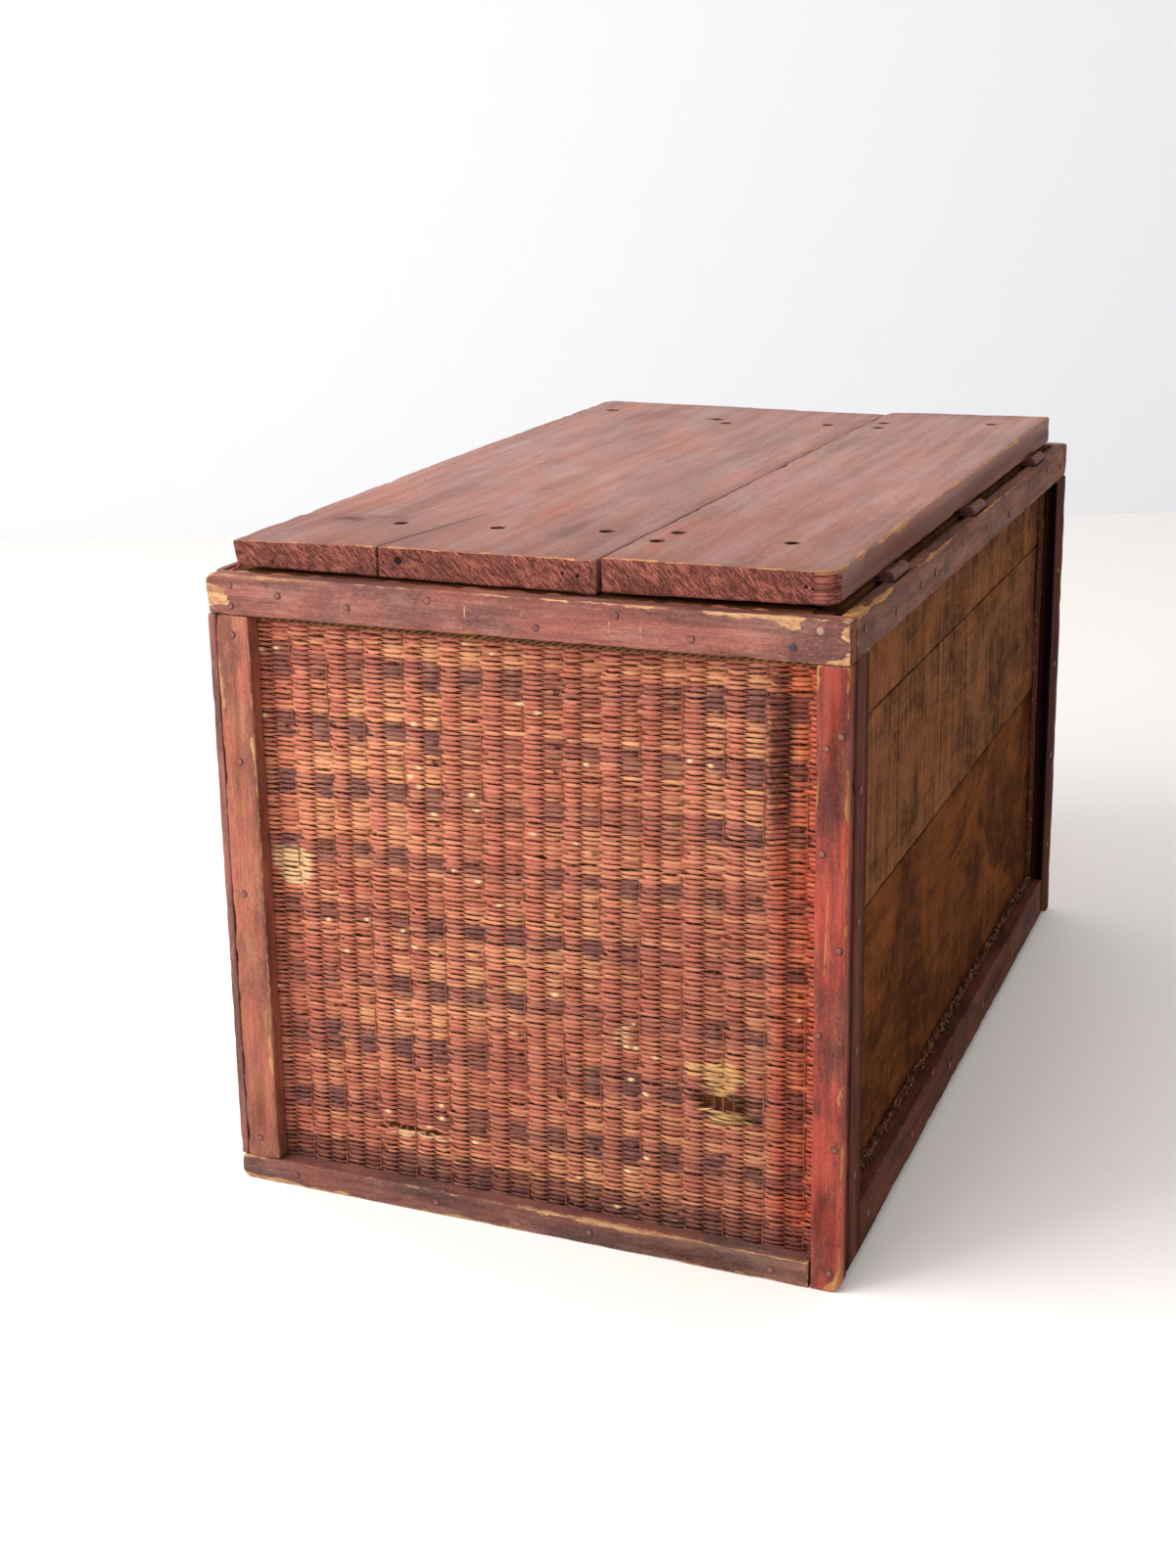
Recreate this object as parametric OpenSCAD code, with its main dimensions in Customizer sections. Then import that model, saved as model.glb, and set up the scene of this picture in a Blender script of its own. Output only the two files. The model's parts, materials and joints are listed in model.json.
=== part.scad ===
// Lidded shipping crate: a nailed box of thin boards, faced with woven matting that is
// held by narrow laths, and closed by a two-board lid on three butt hinges.
//
// The origin is the middle of the footprint, on the floor. +Z is up. The long sides run
// along Y, the end at -Y is the front, and the lid is hinged on the +X side.

/* [Crate] */
// Outside width, over the laths of both long sides
crate_w = 430; // [380:1:520]
// Outside length, over the laths of both ends
crate_l = 700; // [600:1:820]
// Height of the walls, from the floor to the rim
crate_h = 430; // [380:1:480]

/* [Laths] */
// Thickness of the laths on both ends
end_lath_t = 13; // [10:0.5:16]
// Thickness of the laths on the hinge side
hinge_lath_t = 10; // [8:0.5:14]
// Thickness of the laths on the left side
left_lath_t = 5.5; // [4:0.5:8]
// Height of every top rail
top_rail_h = 27; // [22:1:34]
// Height of the bottom rail on an end
end_bottom_h = 17.5; // [14:0.5:24]
// Height of the bottom rail on a long side
side_bottom_h = 34; // [26:1:40]
// How far the long sides stay off the floor
side_lift = 8; // [6:1:12]
// Width of an end's stile next to the left side
left_stile_w = 24.5; // [20:0.5:32]
// Width of an end's stile next to the hinge side
hinge_stile_w = 20.5; // [17:0.5:24]
// Width of the stiles on a long side
side_stile_w = 30; // [24:1:36]
// Worn arris taken off the edges of a lath
arris = 1.2; // [0.5:0.1:2]

/* [Walls] */
// Thickness of the wall and floor boards
board_t = 12; // [9:0.5:15]
// Thickness of the woven matting
mat_t = 5; // [4:0.5:7]
// Height of the joint between the lower and the middle wall board
lower_joint_z = 218; // [170:1:240]
// Height of the joint between the middle and the upper wall board
upper_joint_z = 347; // [310:1:370]
// Open joint between two neighbouring boards
board_gap = 1; // [0.5:0.1:2]

/* [Lid] */
// Thickness of the lid boards
lid_t = 21; // [18:0.5:24]
// Space between the rim and the lid, which the hinge leaves fill
lid_gap = 4; // [3.6:0.1:5]
// Setback of the lid from the front end
lid_front_set = 10; // [6:1:14]
// Setback of the lid from the rear end
lid_rear_set = 23; // [14:1:24]
// Setback of the lid from the left side, at the front
lid_left_set = 21; // [16:1:22]
// Extra width that the lid gains on the left towards the rear
lid_left_flare = 9; // [0:1:12]
// Setback of the lid from the hinge side
lid_hinge_set = 12; // [11:0.5:13]
// Width of the narrow lid board at the front
narrow_board_w = 146; // [120:1:180]
// How far the joint between the lid boards drifts to the hinge side at the rear
lid_joint_drift = 5.5; // [0:0.5:8]
// Open joint between the two lid boards
lid_joint = 3.5; // [2:0.5:5]
// Radius of the lid's worn front corner over the hinge
front_corner_r = 16; // [8:1:22]
// Radius of the lid's worn rear corner on the left
rear_corner_r = 12; // [8:1:22]
// Width of the two battens under the lid
batten_w = 56; // [40:1:64]
// Thickness of the battens
batten_t = 18; // [14:1:22]
// Distance from the front end to the middle of the front batten
front_batten_y = 87; // [75:1:95]
// Distance from the front end to the middle of the rear batten
rear_batten_y = 600; // [560:1:610]

/* [Hinges] */
// Length of a hinge
hinge_l = 38; // [32:1:44]
// Radius of a hinge barrel
barrel_r = 4.2; // [4:0.1:4.4]
// Radius of a hinge pin
pin_r = 2; // [1.6:0.1:2.3]
// Thickness of a hinge leaf
leaf_t = 1.6; // [1.4:0.1:1.7]
// Distance between neighbouring hinges
hinge_pitch = 230; // [190:1:240]
// How far the middle hinge sits behind the middle of the crate
hinge_shift = 8; // [0:1:15]
// Distance from the hinge side's outer face to the hinge axis
axis_inset = 7.2; // [7:0.1:7.4]

/* [Fasteners] */
// Radius of a nail head
nail_head_r = 2.6; // [2:0.1:3.2]
// Thickness of a nail head
nail_head_t = 0.8; // [0.5:0.1:1]
// Radius of a nail's shank
nail_r = 0.9; // [0.7:0.1:1.2]
// Length of the nails that hold the laths
lath_nail_l = 25; // [20:1:28]
// Length of the nails through the lid
lid_nail_l = 32; // [28:1:36]
// Length of the nails that join the boards of the box
box_nail_l = 34; // [28:1:40]

/* [Hidden] */
$fn = 48;
SIDES = ["front", "rear", "left", "hinge"];
TIERS = ["lower", "middle", "upper"];
FLOOR = ["left", "middle", "hinge"];
NUMBERS = ["1", "2", "3"];

// Outer faces of the crate
left_x = -crate_w / 2;
hinge_x = crate_w / 2;
front_y = -crate_l / 2;
rear_y = crate_l / 2;

// Outer faces of the matting, which are the backs of the laths
left_mat_x = left_x + left_lath_t;
hinge_mat_x = hinge_x - hinge_lath_t;
end_mat_y = rear_y - end_lath_t;

// Outer and inner faces of the wall boards
left_wall_x = left_mat_x + mat_t;
hinge_wall_x = hinge_mat_x - mat_t;
end_wall_y = end_mat_y - mat_t;
left_inner_x = left_wall_x + board_t;
hinge_inner_x = hinge_wall_x - board_t;
end_inner_y = end_wall_y - board_t;
floor_z = side_lift + board_t;

// Heights shared by the laths
top_rail_z = crate_h - top_rail_h;
side_bottom_z = side_lift + side_bottom_h;
tier_z = [floor_z, lower_joint_z, upper_joint_z, crate_h + board_gap];

// The lid's own faces
lid_z = crate_h + lid_gap;
lid_top_z = lid_z + lid_t;
lid_front_y = front_y + lid_front_set;
lid_rear_y = rear_y - lid_rear_set;
lid_hinge_x = hinge_x - lid_hinge_set;
lid_left_x = left_x + lid_left_set;
lid_joint_x = lid_hinge_x - narrow_board_w;
batten_end_gap = 10;
batten_hinge_gap = 16;

// Hinge axis, and the room round the barrels
axis_x = hinge_x - axis_inset;
axis_z = crate_h + lid_gap / 2;
bore_r = pin_r + 0.05;
barrel_room = 0.5;
knuckle_l = hinge_l / 3;
knuckle_gap = 0.3;
pin_head_r = pin_r + 0.7;
pin_head_t = 0.8;
hinge_ys = [for (i = [-1:1]) hinge_shift + i * hinge_pitch];
screw_xs = hinge_inner_x + board_t / 2;
screw_spread = 12;
screw_r = 1.4;
screw_head_r = 2.9;
screw_l = 14;
remains_drop = 4;
remains_proud = 3;

// Paint and timber colours
oxblood = [0.42, 0.20, 0.18];
lid_red = [0.47, 0.25, 0.22];
bare_timber = [0.31, 0.20, 0.12];
wicker = [0.60, 0.30, 0.20];
iron = [0.25, 0.19, 0.16];

// Nails of the front end, as [distance from the left side, height]
end_nails = [
    [18, 423], [18, 409], [53, 418], [103, 414], [160, 423], [233, 411], [285, 423], [333, 412],
    [395, 412], [412, 423],
    [18, 390], [18, 304], [15, 211], [16, 32],
    [416, 353], [425, 361], [414, 288], [425, 228], [413, 172], [424, 98], [422, 13],
    [43, 9], [150, 9], [261, 9], [384, 8]
];
// Nails of a long side's top rail, as [distance from the front end, height]
top_rail_nails = [[30, 419], [104, 412], [168, 416], [208, 416], [290, 421], [369, 416], [452, 411],
    [530, 420], [607, 421], [670, 414]];
// Heights of the nails that join the walls at a corner
wall_nail_zs = [48, 110, 190, 255, 300, 365, 400];
// Nails of the lid, as [distance from the left side, distance from the front end]
lid_nail_spots = [
    [99, 86], [168, 89], [241, 98], [286, 70], [290, 98], [368, 88],
    [36, 621], [145, 597], [159, 578], [244, 598], [293, 580], [291, 607], [380, 620]
];

// ---- Shared shapes ----

// Rectangle from corner a to corner b, with its four corners eased
module eased(a, b, e = arris) {
    polygon([[a.x + e, a.y], [b.x - e, a.y], [b.x, a.y + e], [b.x, b.y - e],
        [b.x - e, b.y], [a.x + e, b.y], [a.x, b.y - e], [a.x, a.y + e]]);
}

// Laths between two opposite corners, with eased long edges along the named axis
module lath_x(a, b) {
    translate([a.x, 0, 0]) rotate([90, 0, 90])
        linear_extrude(b.x - a.x) eased([a.y, a.z], [b.y, b.z]);
}
module lath_y(a, b) {
    translate([0, b.y, 0]) rotate([90, 0, 0])
        linear_extrude(b.y - a.y) eased([a.x, a.z], [b.x, b.z]);
}
module lath_z(a, b) {
    translate([0, 0, a.z]) linear_extrude(b.z - a.z) eased([a.x, a.y], [b.x, b.y]);
}

// Plain block between two opposite corners
module block(a, b) {
    translate(a) cube(b - a);
}

// What is drawn for the front end, turned into the rear end where asked
module at_end(end) {
    if (end == "front") children();
    else mirror([0, 1, 0]) children();
}

// Nail whose head rises along +Z from the surface at the origin
module nail(l, head_r = nail_head_r) {
    translate([0, 0, -l]) cylinder(h = l, r = nail_r);
    cylinder(h = nail_head_t, r = head_r);
}

// Countersunk screw whose head is flush with the surface at the origin
module screw() {
    translate([0, 0, -screw_l]) cylinder(h = screw_l - leaf_t / 2, r = screw_r);
    translate([0, 0, -leaf_t / 2 - 0.2]) cylinder(h = leaf_t / 2, r1 = screw_r, r2 = screw_head_r);
}
module screw_hole() {
    translate([0, 0, -2 * leaf_t]) cylinder(h = 3 * leaf_t, r = screw_r + 0.1);
    translate([0, 0, -leaf_t / 2 - 0.1]) cylinder(h = leaf_t, r1 = screw_r + 0.1, r2 = screw_head_r + 1);
}

// ---- Laths of an end ----

module end_top_rail(end) {
    color(oxblood) at_end(end)
        lath_x([left_x, front_y, top_rail_z], [hinge_x, -end_mat_y, crate_h]);
}
module end_bottom_rail(end) {
    color(oxblood) at_end(end)
        lath_x([left_x, front_y, 0], [hinge_x - hinge_stile_w - board_gap, -end_mat_y, end_bottom_h]);
}
module end_left_stile(end) {
    color(oxblood) at_end(end)
        lath_z([left_mat_x, front_y, end_bottom_h], [left_mat_x + left_stile_w, -end_mat_y, top_rail_z]);
}
module end_hinge_stile(end) {
    color(oxblood) at_end(end)
        lath_z([hinge_x - hinge_stile_w, front_y, 0], [hinge_x, -end_mat_y, top_rail_z]);
}

// ---- Laths of the left side ----

module left_side_top_rail() {
    color(oxblood) lath_y([left_x, -end_mat_y, top_rail_z], [left_mat_x, end_mat_y, crate_h]);
}
module left_side_bottom_rail() {
    color(oxblood) lath_y([left_x, -end_mat_y, side_lift], [left_mat_x, end_mat_y, side_bottom_z]);
}
// The stile is notched over the end of the bottom rail
module left_side_stile(end) {
    color(oxblood) at_end(end) difference() {
        lath_z([left_x, front_y, end_bottom_h], [left_mat_x, front_y + side_stile_w, top_rail_z]);
        block([left_x - 1, -end_mat_y, 0], [left_mat_x + 1, 0, side_bottom_z]);
    }
}

// ---- Laths of the hinge side ----

// The top rail has a pocket under each hinge barrel
module hinge_side_top_rail() {
    color(oxblood) difference() {
        lath_y([hinge_mat_x, -end_mat_y + board_gap, top_rail_z], [hinge_x, end_mat_y - board_gap, crate_h]);
        for (y = hinge_ys)
            block([hinge_mat_x - 1, y - hinge_l / 2 - 2, axis_z - barrel_r - barrel_room],
                [axis_x + barrel_r + barrel_room, y + hinge_l / 2 + 2, crate_h + 1]);
    }
}
module hinge_side_bottom_rail() {
    color(oxblood) lath_y([hinge_mat_x, -end_mat_y + side_stile_w, side_lift],
        [hinge_x, end_mat_y - side_stile_w, side_bottom_z]);
}
module hinge_side_stile(end) {
    color(oxblood) at_end(end)
        lath_z([hinge_mat_x, -end_mat_y, side_lift], [hinge_x, -end_mat_y + side_stile_w, top_rail_z]);
}

// ---- Boards ----

// One of three boards, counted from the floor, between the given wall's faces
module wall_board(side, tier) {
    z0 = tier_z[tier];
    z1 = tier_z[tier + 1] - board_gap;
    color(bare_timber) {
        if (side == "left") block([left_wall_x, -end_wall_y, z0], [left_inner_x, end_wall_y, z1]);
        if (side == "hinge") block([hinge_inner_x, -end_wall_y, z0], [hinge_wall_x, end_wall_y, z1]);
        if (side == "front" || side == "rear") at_end(side)
            block([left_inner_x, -end_wall_y, z0], [hinge_inner_x, -end_inner_y, z1]);
    }
}

module floor_board(place) {
    w = (hinge_wall_x - left_wall_x + board_gap) / len(FLOOR);
    x = left_wall_x + place * w;
    color(bare_timber) block([x, -end_wall_y, side_lift], [x + w - board_gap, end_wall_y, floor_z]);
}

// ---- Woven matting ----

module end_matting(end) {
    color(wicker) at_end(end)
        block([left_wall_x, -end_mat_y, side_lift], [hinge_wall_x, -end_wall_y, crate_h]);
}
module left_matting() {
    color(wicker) block([left_mat_x, -end_mat_y, side_lift], [left_wall_x, end_mat_y, crate_h]);
}
// The hinge side's matting is lost but for the strips that the laths still hold
module hinge_matting_remains() {
    stub_z = side_bottom_z + remains_proud;
    color(wicker) {
        block([hinge_wall_x, -end_wall_y + side_stile_w, side_lift],
            [hinge_mat_x, end_wall_y - side_stile_w, stub_z]);
        block([hinge_wall_x, -end_wall_y + side_stile_w, top_rail_z],
            [hinge_mat_x, end_wall_y - side_stile_w, crate_h - remains_drop]);
        for (end = ["front", "rear"]) at_end(end)
            block([hinge_wall_x, -end_mat_y, side_lift],
                [hinge_mat_x, -end_wall_y + side_stile_w - board_gap, crate_h - remains_drop]);
    }
}

// ---- Lid ----

// Takes the square corner off a board and leaves a round of radius r centred at c
module round_off(c, r, sx, sy) {
    difference() {
        translate([c.x + (sx > 0 ? 0 : -2 * r), c.y + (sy > 0 ? 0 : -2 * r), lid_z - 1])
            cube([2 * r, 2 * r, lid_t + 2]);
        translate([c.x, c.y, lid_z - 2]) cylinder(h = lid_t + 4, r = r);
    }
}
module lid_wide_board() {
    rear_left_x = lid_left_x - lid_left_flare;
    color(lid_red) difference() {
        translate([0, 0, lid_z]) linear_extrude(lid_t) polygon([
            [lid_left_x, lid_front_y],
            [lid_joint_x - lid_joint, lid_front_y],
            [lid_joint_x - lid_joint + lid_joint_drift, lid_rear_y],
            [rear_left_x, lid_rear_y]]);
        round_off([rear_left_x + rear_corner_r, lid_rear_y - rear_corner_r], rear_corner_r, -1, 1);
    }
}
module lid_narrow_board() {
    color(lid_red) difference() {
        translate([0, 0, lid_z]) linear_extrude(lid_t) polygon([
            [lid_joint_x, lid_front_y],
            [lid_hinge_x, lid_front_y],
            [lid_hinge_x, lid_rear_y],
            [lid_joint_x + lid_joint_drift, lid_rear_y]]);
        round_off([lid_hinge_x - front_corner_r, lid_front_y + front_corner_r], front_corner_r, 1, -1);
    }
}
module lid_batten(middle_y) {
    color(lid_red)
        lath_x([left_inner_x + batten_end_gap, front_y + middle_y - batten_w / 2, lid_z - batten_t],
            [hinge_inner_x - batten_hinge_gap, front_y + middle_y + batten_w / 2, lid_z]);
}

// ---- Hinges ----

// Barrel and leaf of one half of a hinge at the origin, with its leaf on the given side (-1 down, 1 up)
module hinge_half(side) {
    leaf_z = side < 0 ? -lid_gap / 2 : lid_gap / 2 - leaf_t;
    half = knuckle_l / 2;
    reach = axis_x - hinge_inner_x;
    difference() {
        union() {
            translate([-reach, -hinge_l / 2, leaf_z]) cube([reach, hinge_l, leaf_t]);
            translate([0, -hinge_l / 2, 0]) rotate([-90, 0, 0]) cylinder(h = hinge_l, r = barrel_r);
        }
        translate([0, -hinge_l, 0]) rotate([-90, 0, 0]) cylinder(h = 2 * hinge_l, r = bore_r);
        // room for the other half's knuckles
        if (side < 0)
            translate([-barrel_r - barrel_room, -half, -10]) cube([20, knuckle_l, 20]);
        else
            for (s = [-1, 1])
                translate([-barrel_r - barrel_room, s * hinge_l / 2 - (half * 2 + knuckle_gap), -10])
                    cube([20, 2 * (half * 2 + knuckle_gap), 20]);
        for (s = [-1, 1])
            translate([screw_xs - axis_x, s * screw_spread, side < 0 ? leaf_z + leaf_t : leaf_z])
                rotate([side < 0 ? 0 : 180, 0, 0]) screw_hole();
    }
}
module hinge_crate_leaf(i) {
    color(iron) translate([axis_x, hinge_ys[i], axis_z]) hinge_half(-1);
}
module hinge_lid_leaf(i) {
    color(iron) translate([axis_x, hinge_ys[i], axis_z]) hinge_half(1);
}
module hinge_pin(i) {
    color(iron) translate([axis_x, hinge_ys[i], axis_z]) rotate([-90, 0, 0]) {
        cylinder(h = hinge_l, r = pin_r, center = true);
        for (s = [-1, 1]) translate([0, 0, s * (hinge_l / 2 + pin_head_t / 2)])
            cylinder(h = pin_head_t, r = pin_head_r, center = true);
    }
}
module crate_hinge_screws() {
    color(iron) for (y = hinge_ys) for (s = [-1, 1])
        translate([screw_xs, y + s * screw_spread, crate_h + leaf_t]) screw();
}
module lid_hinge_screws() {
    color(iron) for (y = hinge_ys) for (s = [-1, 1])
        translate([screw_xs, y + s * screw_spread, lid_z - leaf_t]) rotate([180, 0, 0]) screw();
}

// ---- Nails ----

module end_lath_nails(end) {
    color(iron) at_end(end) for (n = end_nails)
        translate([left_x + n[0], front_y, n[1]]) rotate([90, 0, 0]) nail(lath_nail_l);
}
// Nails of a long side: the top rail's own, then the stiles' and the bottom rail's
module side_lath_nails(x, turn, l) {
    pitch = (crate_l - 120) / 5;
    stile_spots = [for (z = [70:84:390]) z];
    color(iron) {
        for (n = top_rail_nails)
            translate([x, front_y + n[0], n[1]]) rotate([0, turn, 0]) nail(l);
        for (z = stile_spots) for (s = [-1, 1])
            translate([x, s * (rear_y - 26 + (z % 3) * 1.5), z]) rotate([0, turn, 0]) nail(l);
        for (i = [0:5])
            translate([x, front_y + 60 + i * pitch, side_lift + 17]) rotate([0, turn, 0]) nail(l);
    }
}
module lid_nails() {
    color(iron) for (n = lid_nail_spots)
        translate([left_x + n[0], front_y + n[1], lid_top_z]) nail(lid_nail_l);
}
// Nails driven through the long walls into the ends' boards, heads sunk flush
module wall_nails() {
    sink = nail_head_t;
    color(iron) for (z = wall_nail_zs) for (s = [-1, 1]) {
        translate([hinge_wall_x - sink, s * (end_wall_y - board_t / 2), z]) rotate([0, 90, 0]) nail(box_nail_l);
        translate([left_wall_x + sink, s * (end_wall_y - board_t / 2), z]) rotate([0, -90, 0]) nail(box_nail_l);
    }
}
// Nails driven up through the floor into the walls, heads sunk flush
module floor_nails() {
    sink = nail_head_t;
    color(iron) {
        for (y = [-240:120:240]) for (x = [left_wall_x + board_t / 2, hinge_wall_x - board_t / 2])
            translate([x, y, side_lift + sink]) rotate([180, 0, 0]) nail(box_nail_l);
        for (x = [-150:75:150]) for (s = [-1, 1])
            translate([x, s * (end_wall_y - board_t / 2), side_lift + sink])
                rotate([180, 0, 0]) nail(box_nail_l);
    }
}

// ---- What is drawn ----

for (end = ["front", "rear"]) {
    end_top_rail(end);
    end_bottom_rail(end);
    end_left_stile(end);
    end_hinge_stile(end);
    end_matting(end);
    end_lath_nails(end);
    left_side_stile(end);
    hinge_side_stile(end);
}
left_side_top_rail();
left_side_bottom_rail();
hinge_side_top_rail();
hinge_side_bottom_rail();
for (side = SIDES) for (i = [0:len(TIERS) - 1])
    wall_board(side, i);
for (i = [0:len(FLOOR) - 1])
    floor_board(i);
left_matting();
hinge_matting_remains();
lid_wide_board();
lid_narrow_board();
lid_batten(front_batten_y);  // lid_front_batten
lid_batten(rear_batten_y);  // lid_rear_batten
for (i = [0:len(NUMBERS) - 1]) {
    hinge_crate_leaf(i);
    hinge_lid_leaf(i);
    hinge_pin(i);
}
crate_hinge_screws();
lid_hinge_screws();
side_lath_nails(left_x, -90, lath_nail_l - 6);  // left_lath_nails
side_lath_nails(hinge_x, 90, lath_nail_l);  // hinge_lath_nails
lid_nails();
wall_nails();
floor_nails();
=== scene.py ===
# %% [markdown]
# # An old lidded crate with woven matting
#
# This lesson rebuilds a nailed wooden crate: board walls faced with woven reed matting, narrow painted laths
# over every edge, and a two-board lid on three hinges. The CAD frame fixes the place and size of every part.
# What is made here is how each part looks: worn arrises, saw marks, a real weave, old paint and dust.
# Some shade and sheen are painted into the colours as well.

import json
import math

import bpy
import numpy as np
from mathutils import Matrix, Vector

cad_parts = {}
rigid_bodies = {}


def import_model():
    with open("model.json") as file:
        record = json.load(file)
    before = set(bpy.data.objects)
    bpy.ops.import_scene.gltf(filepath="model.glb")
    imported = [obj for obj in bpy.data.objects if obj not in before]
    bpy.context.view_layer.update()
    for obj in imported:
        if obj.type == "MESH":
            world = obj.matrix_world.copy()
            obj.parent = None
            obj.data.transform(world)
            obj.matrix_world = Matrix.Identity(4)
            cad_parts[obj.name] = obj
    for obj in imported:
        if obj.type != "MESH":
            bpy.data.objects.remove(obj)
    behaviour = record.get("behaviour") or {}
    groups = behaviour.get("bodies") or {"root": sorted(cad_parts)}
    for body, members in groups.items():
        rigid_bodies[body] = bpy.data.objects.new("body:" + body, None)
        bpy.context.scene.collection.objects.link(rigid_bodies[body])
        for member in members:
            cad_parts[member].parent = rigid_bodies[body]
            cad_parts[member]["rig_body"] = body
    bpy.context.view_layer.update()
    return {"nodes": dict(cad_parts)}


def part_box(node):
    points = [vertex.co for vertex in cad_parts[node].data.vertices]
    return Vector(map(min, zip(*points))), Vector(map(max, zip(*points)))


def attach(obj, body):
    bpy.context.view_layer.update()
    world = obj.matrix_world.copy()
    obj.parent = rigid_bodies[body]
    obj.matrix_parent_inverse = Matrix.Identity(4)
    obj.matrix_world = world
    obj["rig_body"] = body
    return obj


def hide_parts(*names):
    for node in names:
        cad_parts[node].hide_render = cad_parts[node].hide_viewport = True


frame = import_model()
NODES = frame["nodes"]
BODY = {name: node["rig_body"] for name, node in NODES.items()}

# %% [markdown]
# ## The camera
#
# The camera stands in front of the crate, a little to the right and above, and looks down at it. A lens of 48
# mm gives the mild convergence of the upright edges. The position is set in metres and the direction by two
# angles and a small roll.

# %% Camera
camera_data = bpy.data.cameras.new("Camera")
camera_data.lens = 47.93
camera_data.sensor_width = 36.0
camera_data.shift_x = -0.0009
camera_data.shift_y = -0.0803
camera = bpy.data.objects.new("Camera", camera_data)
bpy.context.scene.collection.objects.link(camera)
bpy.context.scene.camera = camera


def aim(obj, azimuth, elevation, roll):
    """Turns obj so that its -Z looks along the azimuth (from +Y towards +X) and elevation, then rolls it."""
    a, e, r = (math.radians(v) for v in (azimuth, elevation, roll))
    forward = Vector((math.sin(a) * math.cos(e), math.cos(a) * math.cos(e), math.sin(e)))
    right = forward.cross(Vector((0, 0, 1))).normalized()
    up = right.cross(forward)
    x_axis = math.cos(r) * right + math.sin(r) * up
    y_axis = -math.sin(r) * right + math.cos(r) * up
    columns = (x_axis, y_axis, -forward)
    matrix = [[columns[c][row] for c in range(3)] for row in range(3)]
    obj.rotation_mode = "QUATERNION"
    obj.rotation_quaternion = Matrix(matrix).to_quaternion()


camera.location = (0.52057, -1.47412, 0.71007)
aim(camera, -22.584, -14.499, -0.978)
print("camera at", tuple(round(v, 3) for v in camera.location))

# %% [markdown]
# ## Whole-array helpers
#
# Every mesh below is made from whole numpy arrays: a list of points and a list of four-sided faces.

# %% Noise and mesh helpers
MM = 0.001


def hills(p, size, seed):
    """Soft random hills between about -1 and 1: a sum of ten sine waves, each running its own random way.
    size is the usual distance between two hills, in the same unit as p, which is (..., 3)."""
    r = np.random.default_rng(seed)
    waves = r.normal(size=(10, 3)) * (2.8 / size)
    phases = r.uniform(0, 2 * np.pi, 10)
    return np.sin(p @ waves.T + phases).sum(-1) / 3.6


def step(x, a, b):
    """0 below a, 1 above b, and a smooth S between them. a above b turns it round."""
    t = np.clip((x - a) / (b - a), 0, 1)
    return t * t * (3 - 2 * t)


def mesh_piece(name, points, quads, materials, smooth=True, index=None, **attributes):
    """A mesh object from points (n,3) in millimetres and quads (m,4). attributes are per-point arrays:
    (n,) becomes a float, (n,3) a vector and (n,4) a colour."""
    data = bpy.data.meshes.new(name)
    data.vertices.add(len(points))
    data.vertices.foreach_set("co", (points * MM).astype(np.float32).ravel())
    data.loops.add(quads.size)
    data.loops.foreach_set("vertex_index", quads.astype(np.int32).ravel())
    data.polygons.add(len(quads))
    data.polygons.foreach_set("loop_start", np.arange(0, quads.size, 4, dtype=np.int32))
    data.polygons.foreach_set("loop_total", np.full(len(quads), 4, np.int32))
    for material in materials:
        data.materials.append(material)
    if index is not None:
        data.polygons.foreach_set("material_index", index.astype(np.int32))
    data.update(calc_edges=True)
    data.polygons.foreach_set("use_smooth", np.full(len(quads), smooth))
    for key, values in attributes.items():
        values = np.asarray(values, np.float32)
        kind, slot = {1: ("FLOAT", "value"), 3: ("FLOAT_VECTOR", "vector"), 4: ("FLOAT_COLOR", "color")}[
            1 if values.ndim == 1 else values.shape[1]]
        data.attributes.new(key, kind, "POINT").data.foreach_set(slot, values.ravel())
    obj = bpy.data.objects.new(name, data)
    bpy.context.scene.collection.objects.link(obj)
    return obj


def stand_in(obj, node, slot):
    """obj is what is seen of a CAD node: it moves with the node's body and hides the node. slot is not used."""
    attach(obj, BODY[node])
    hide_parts(node)
    return obj


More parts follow.
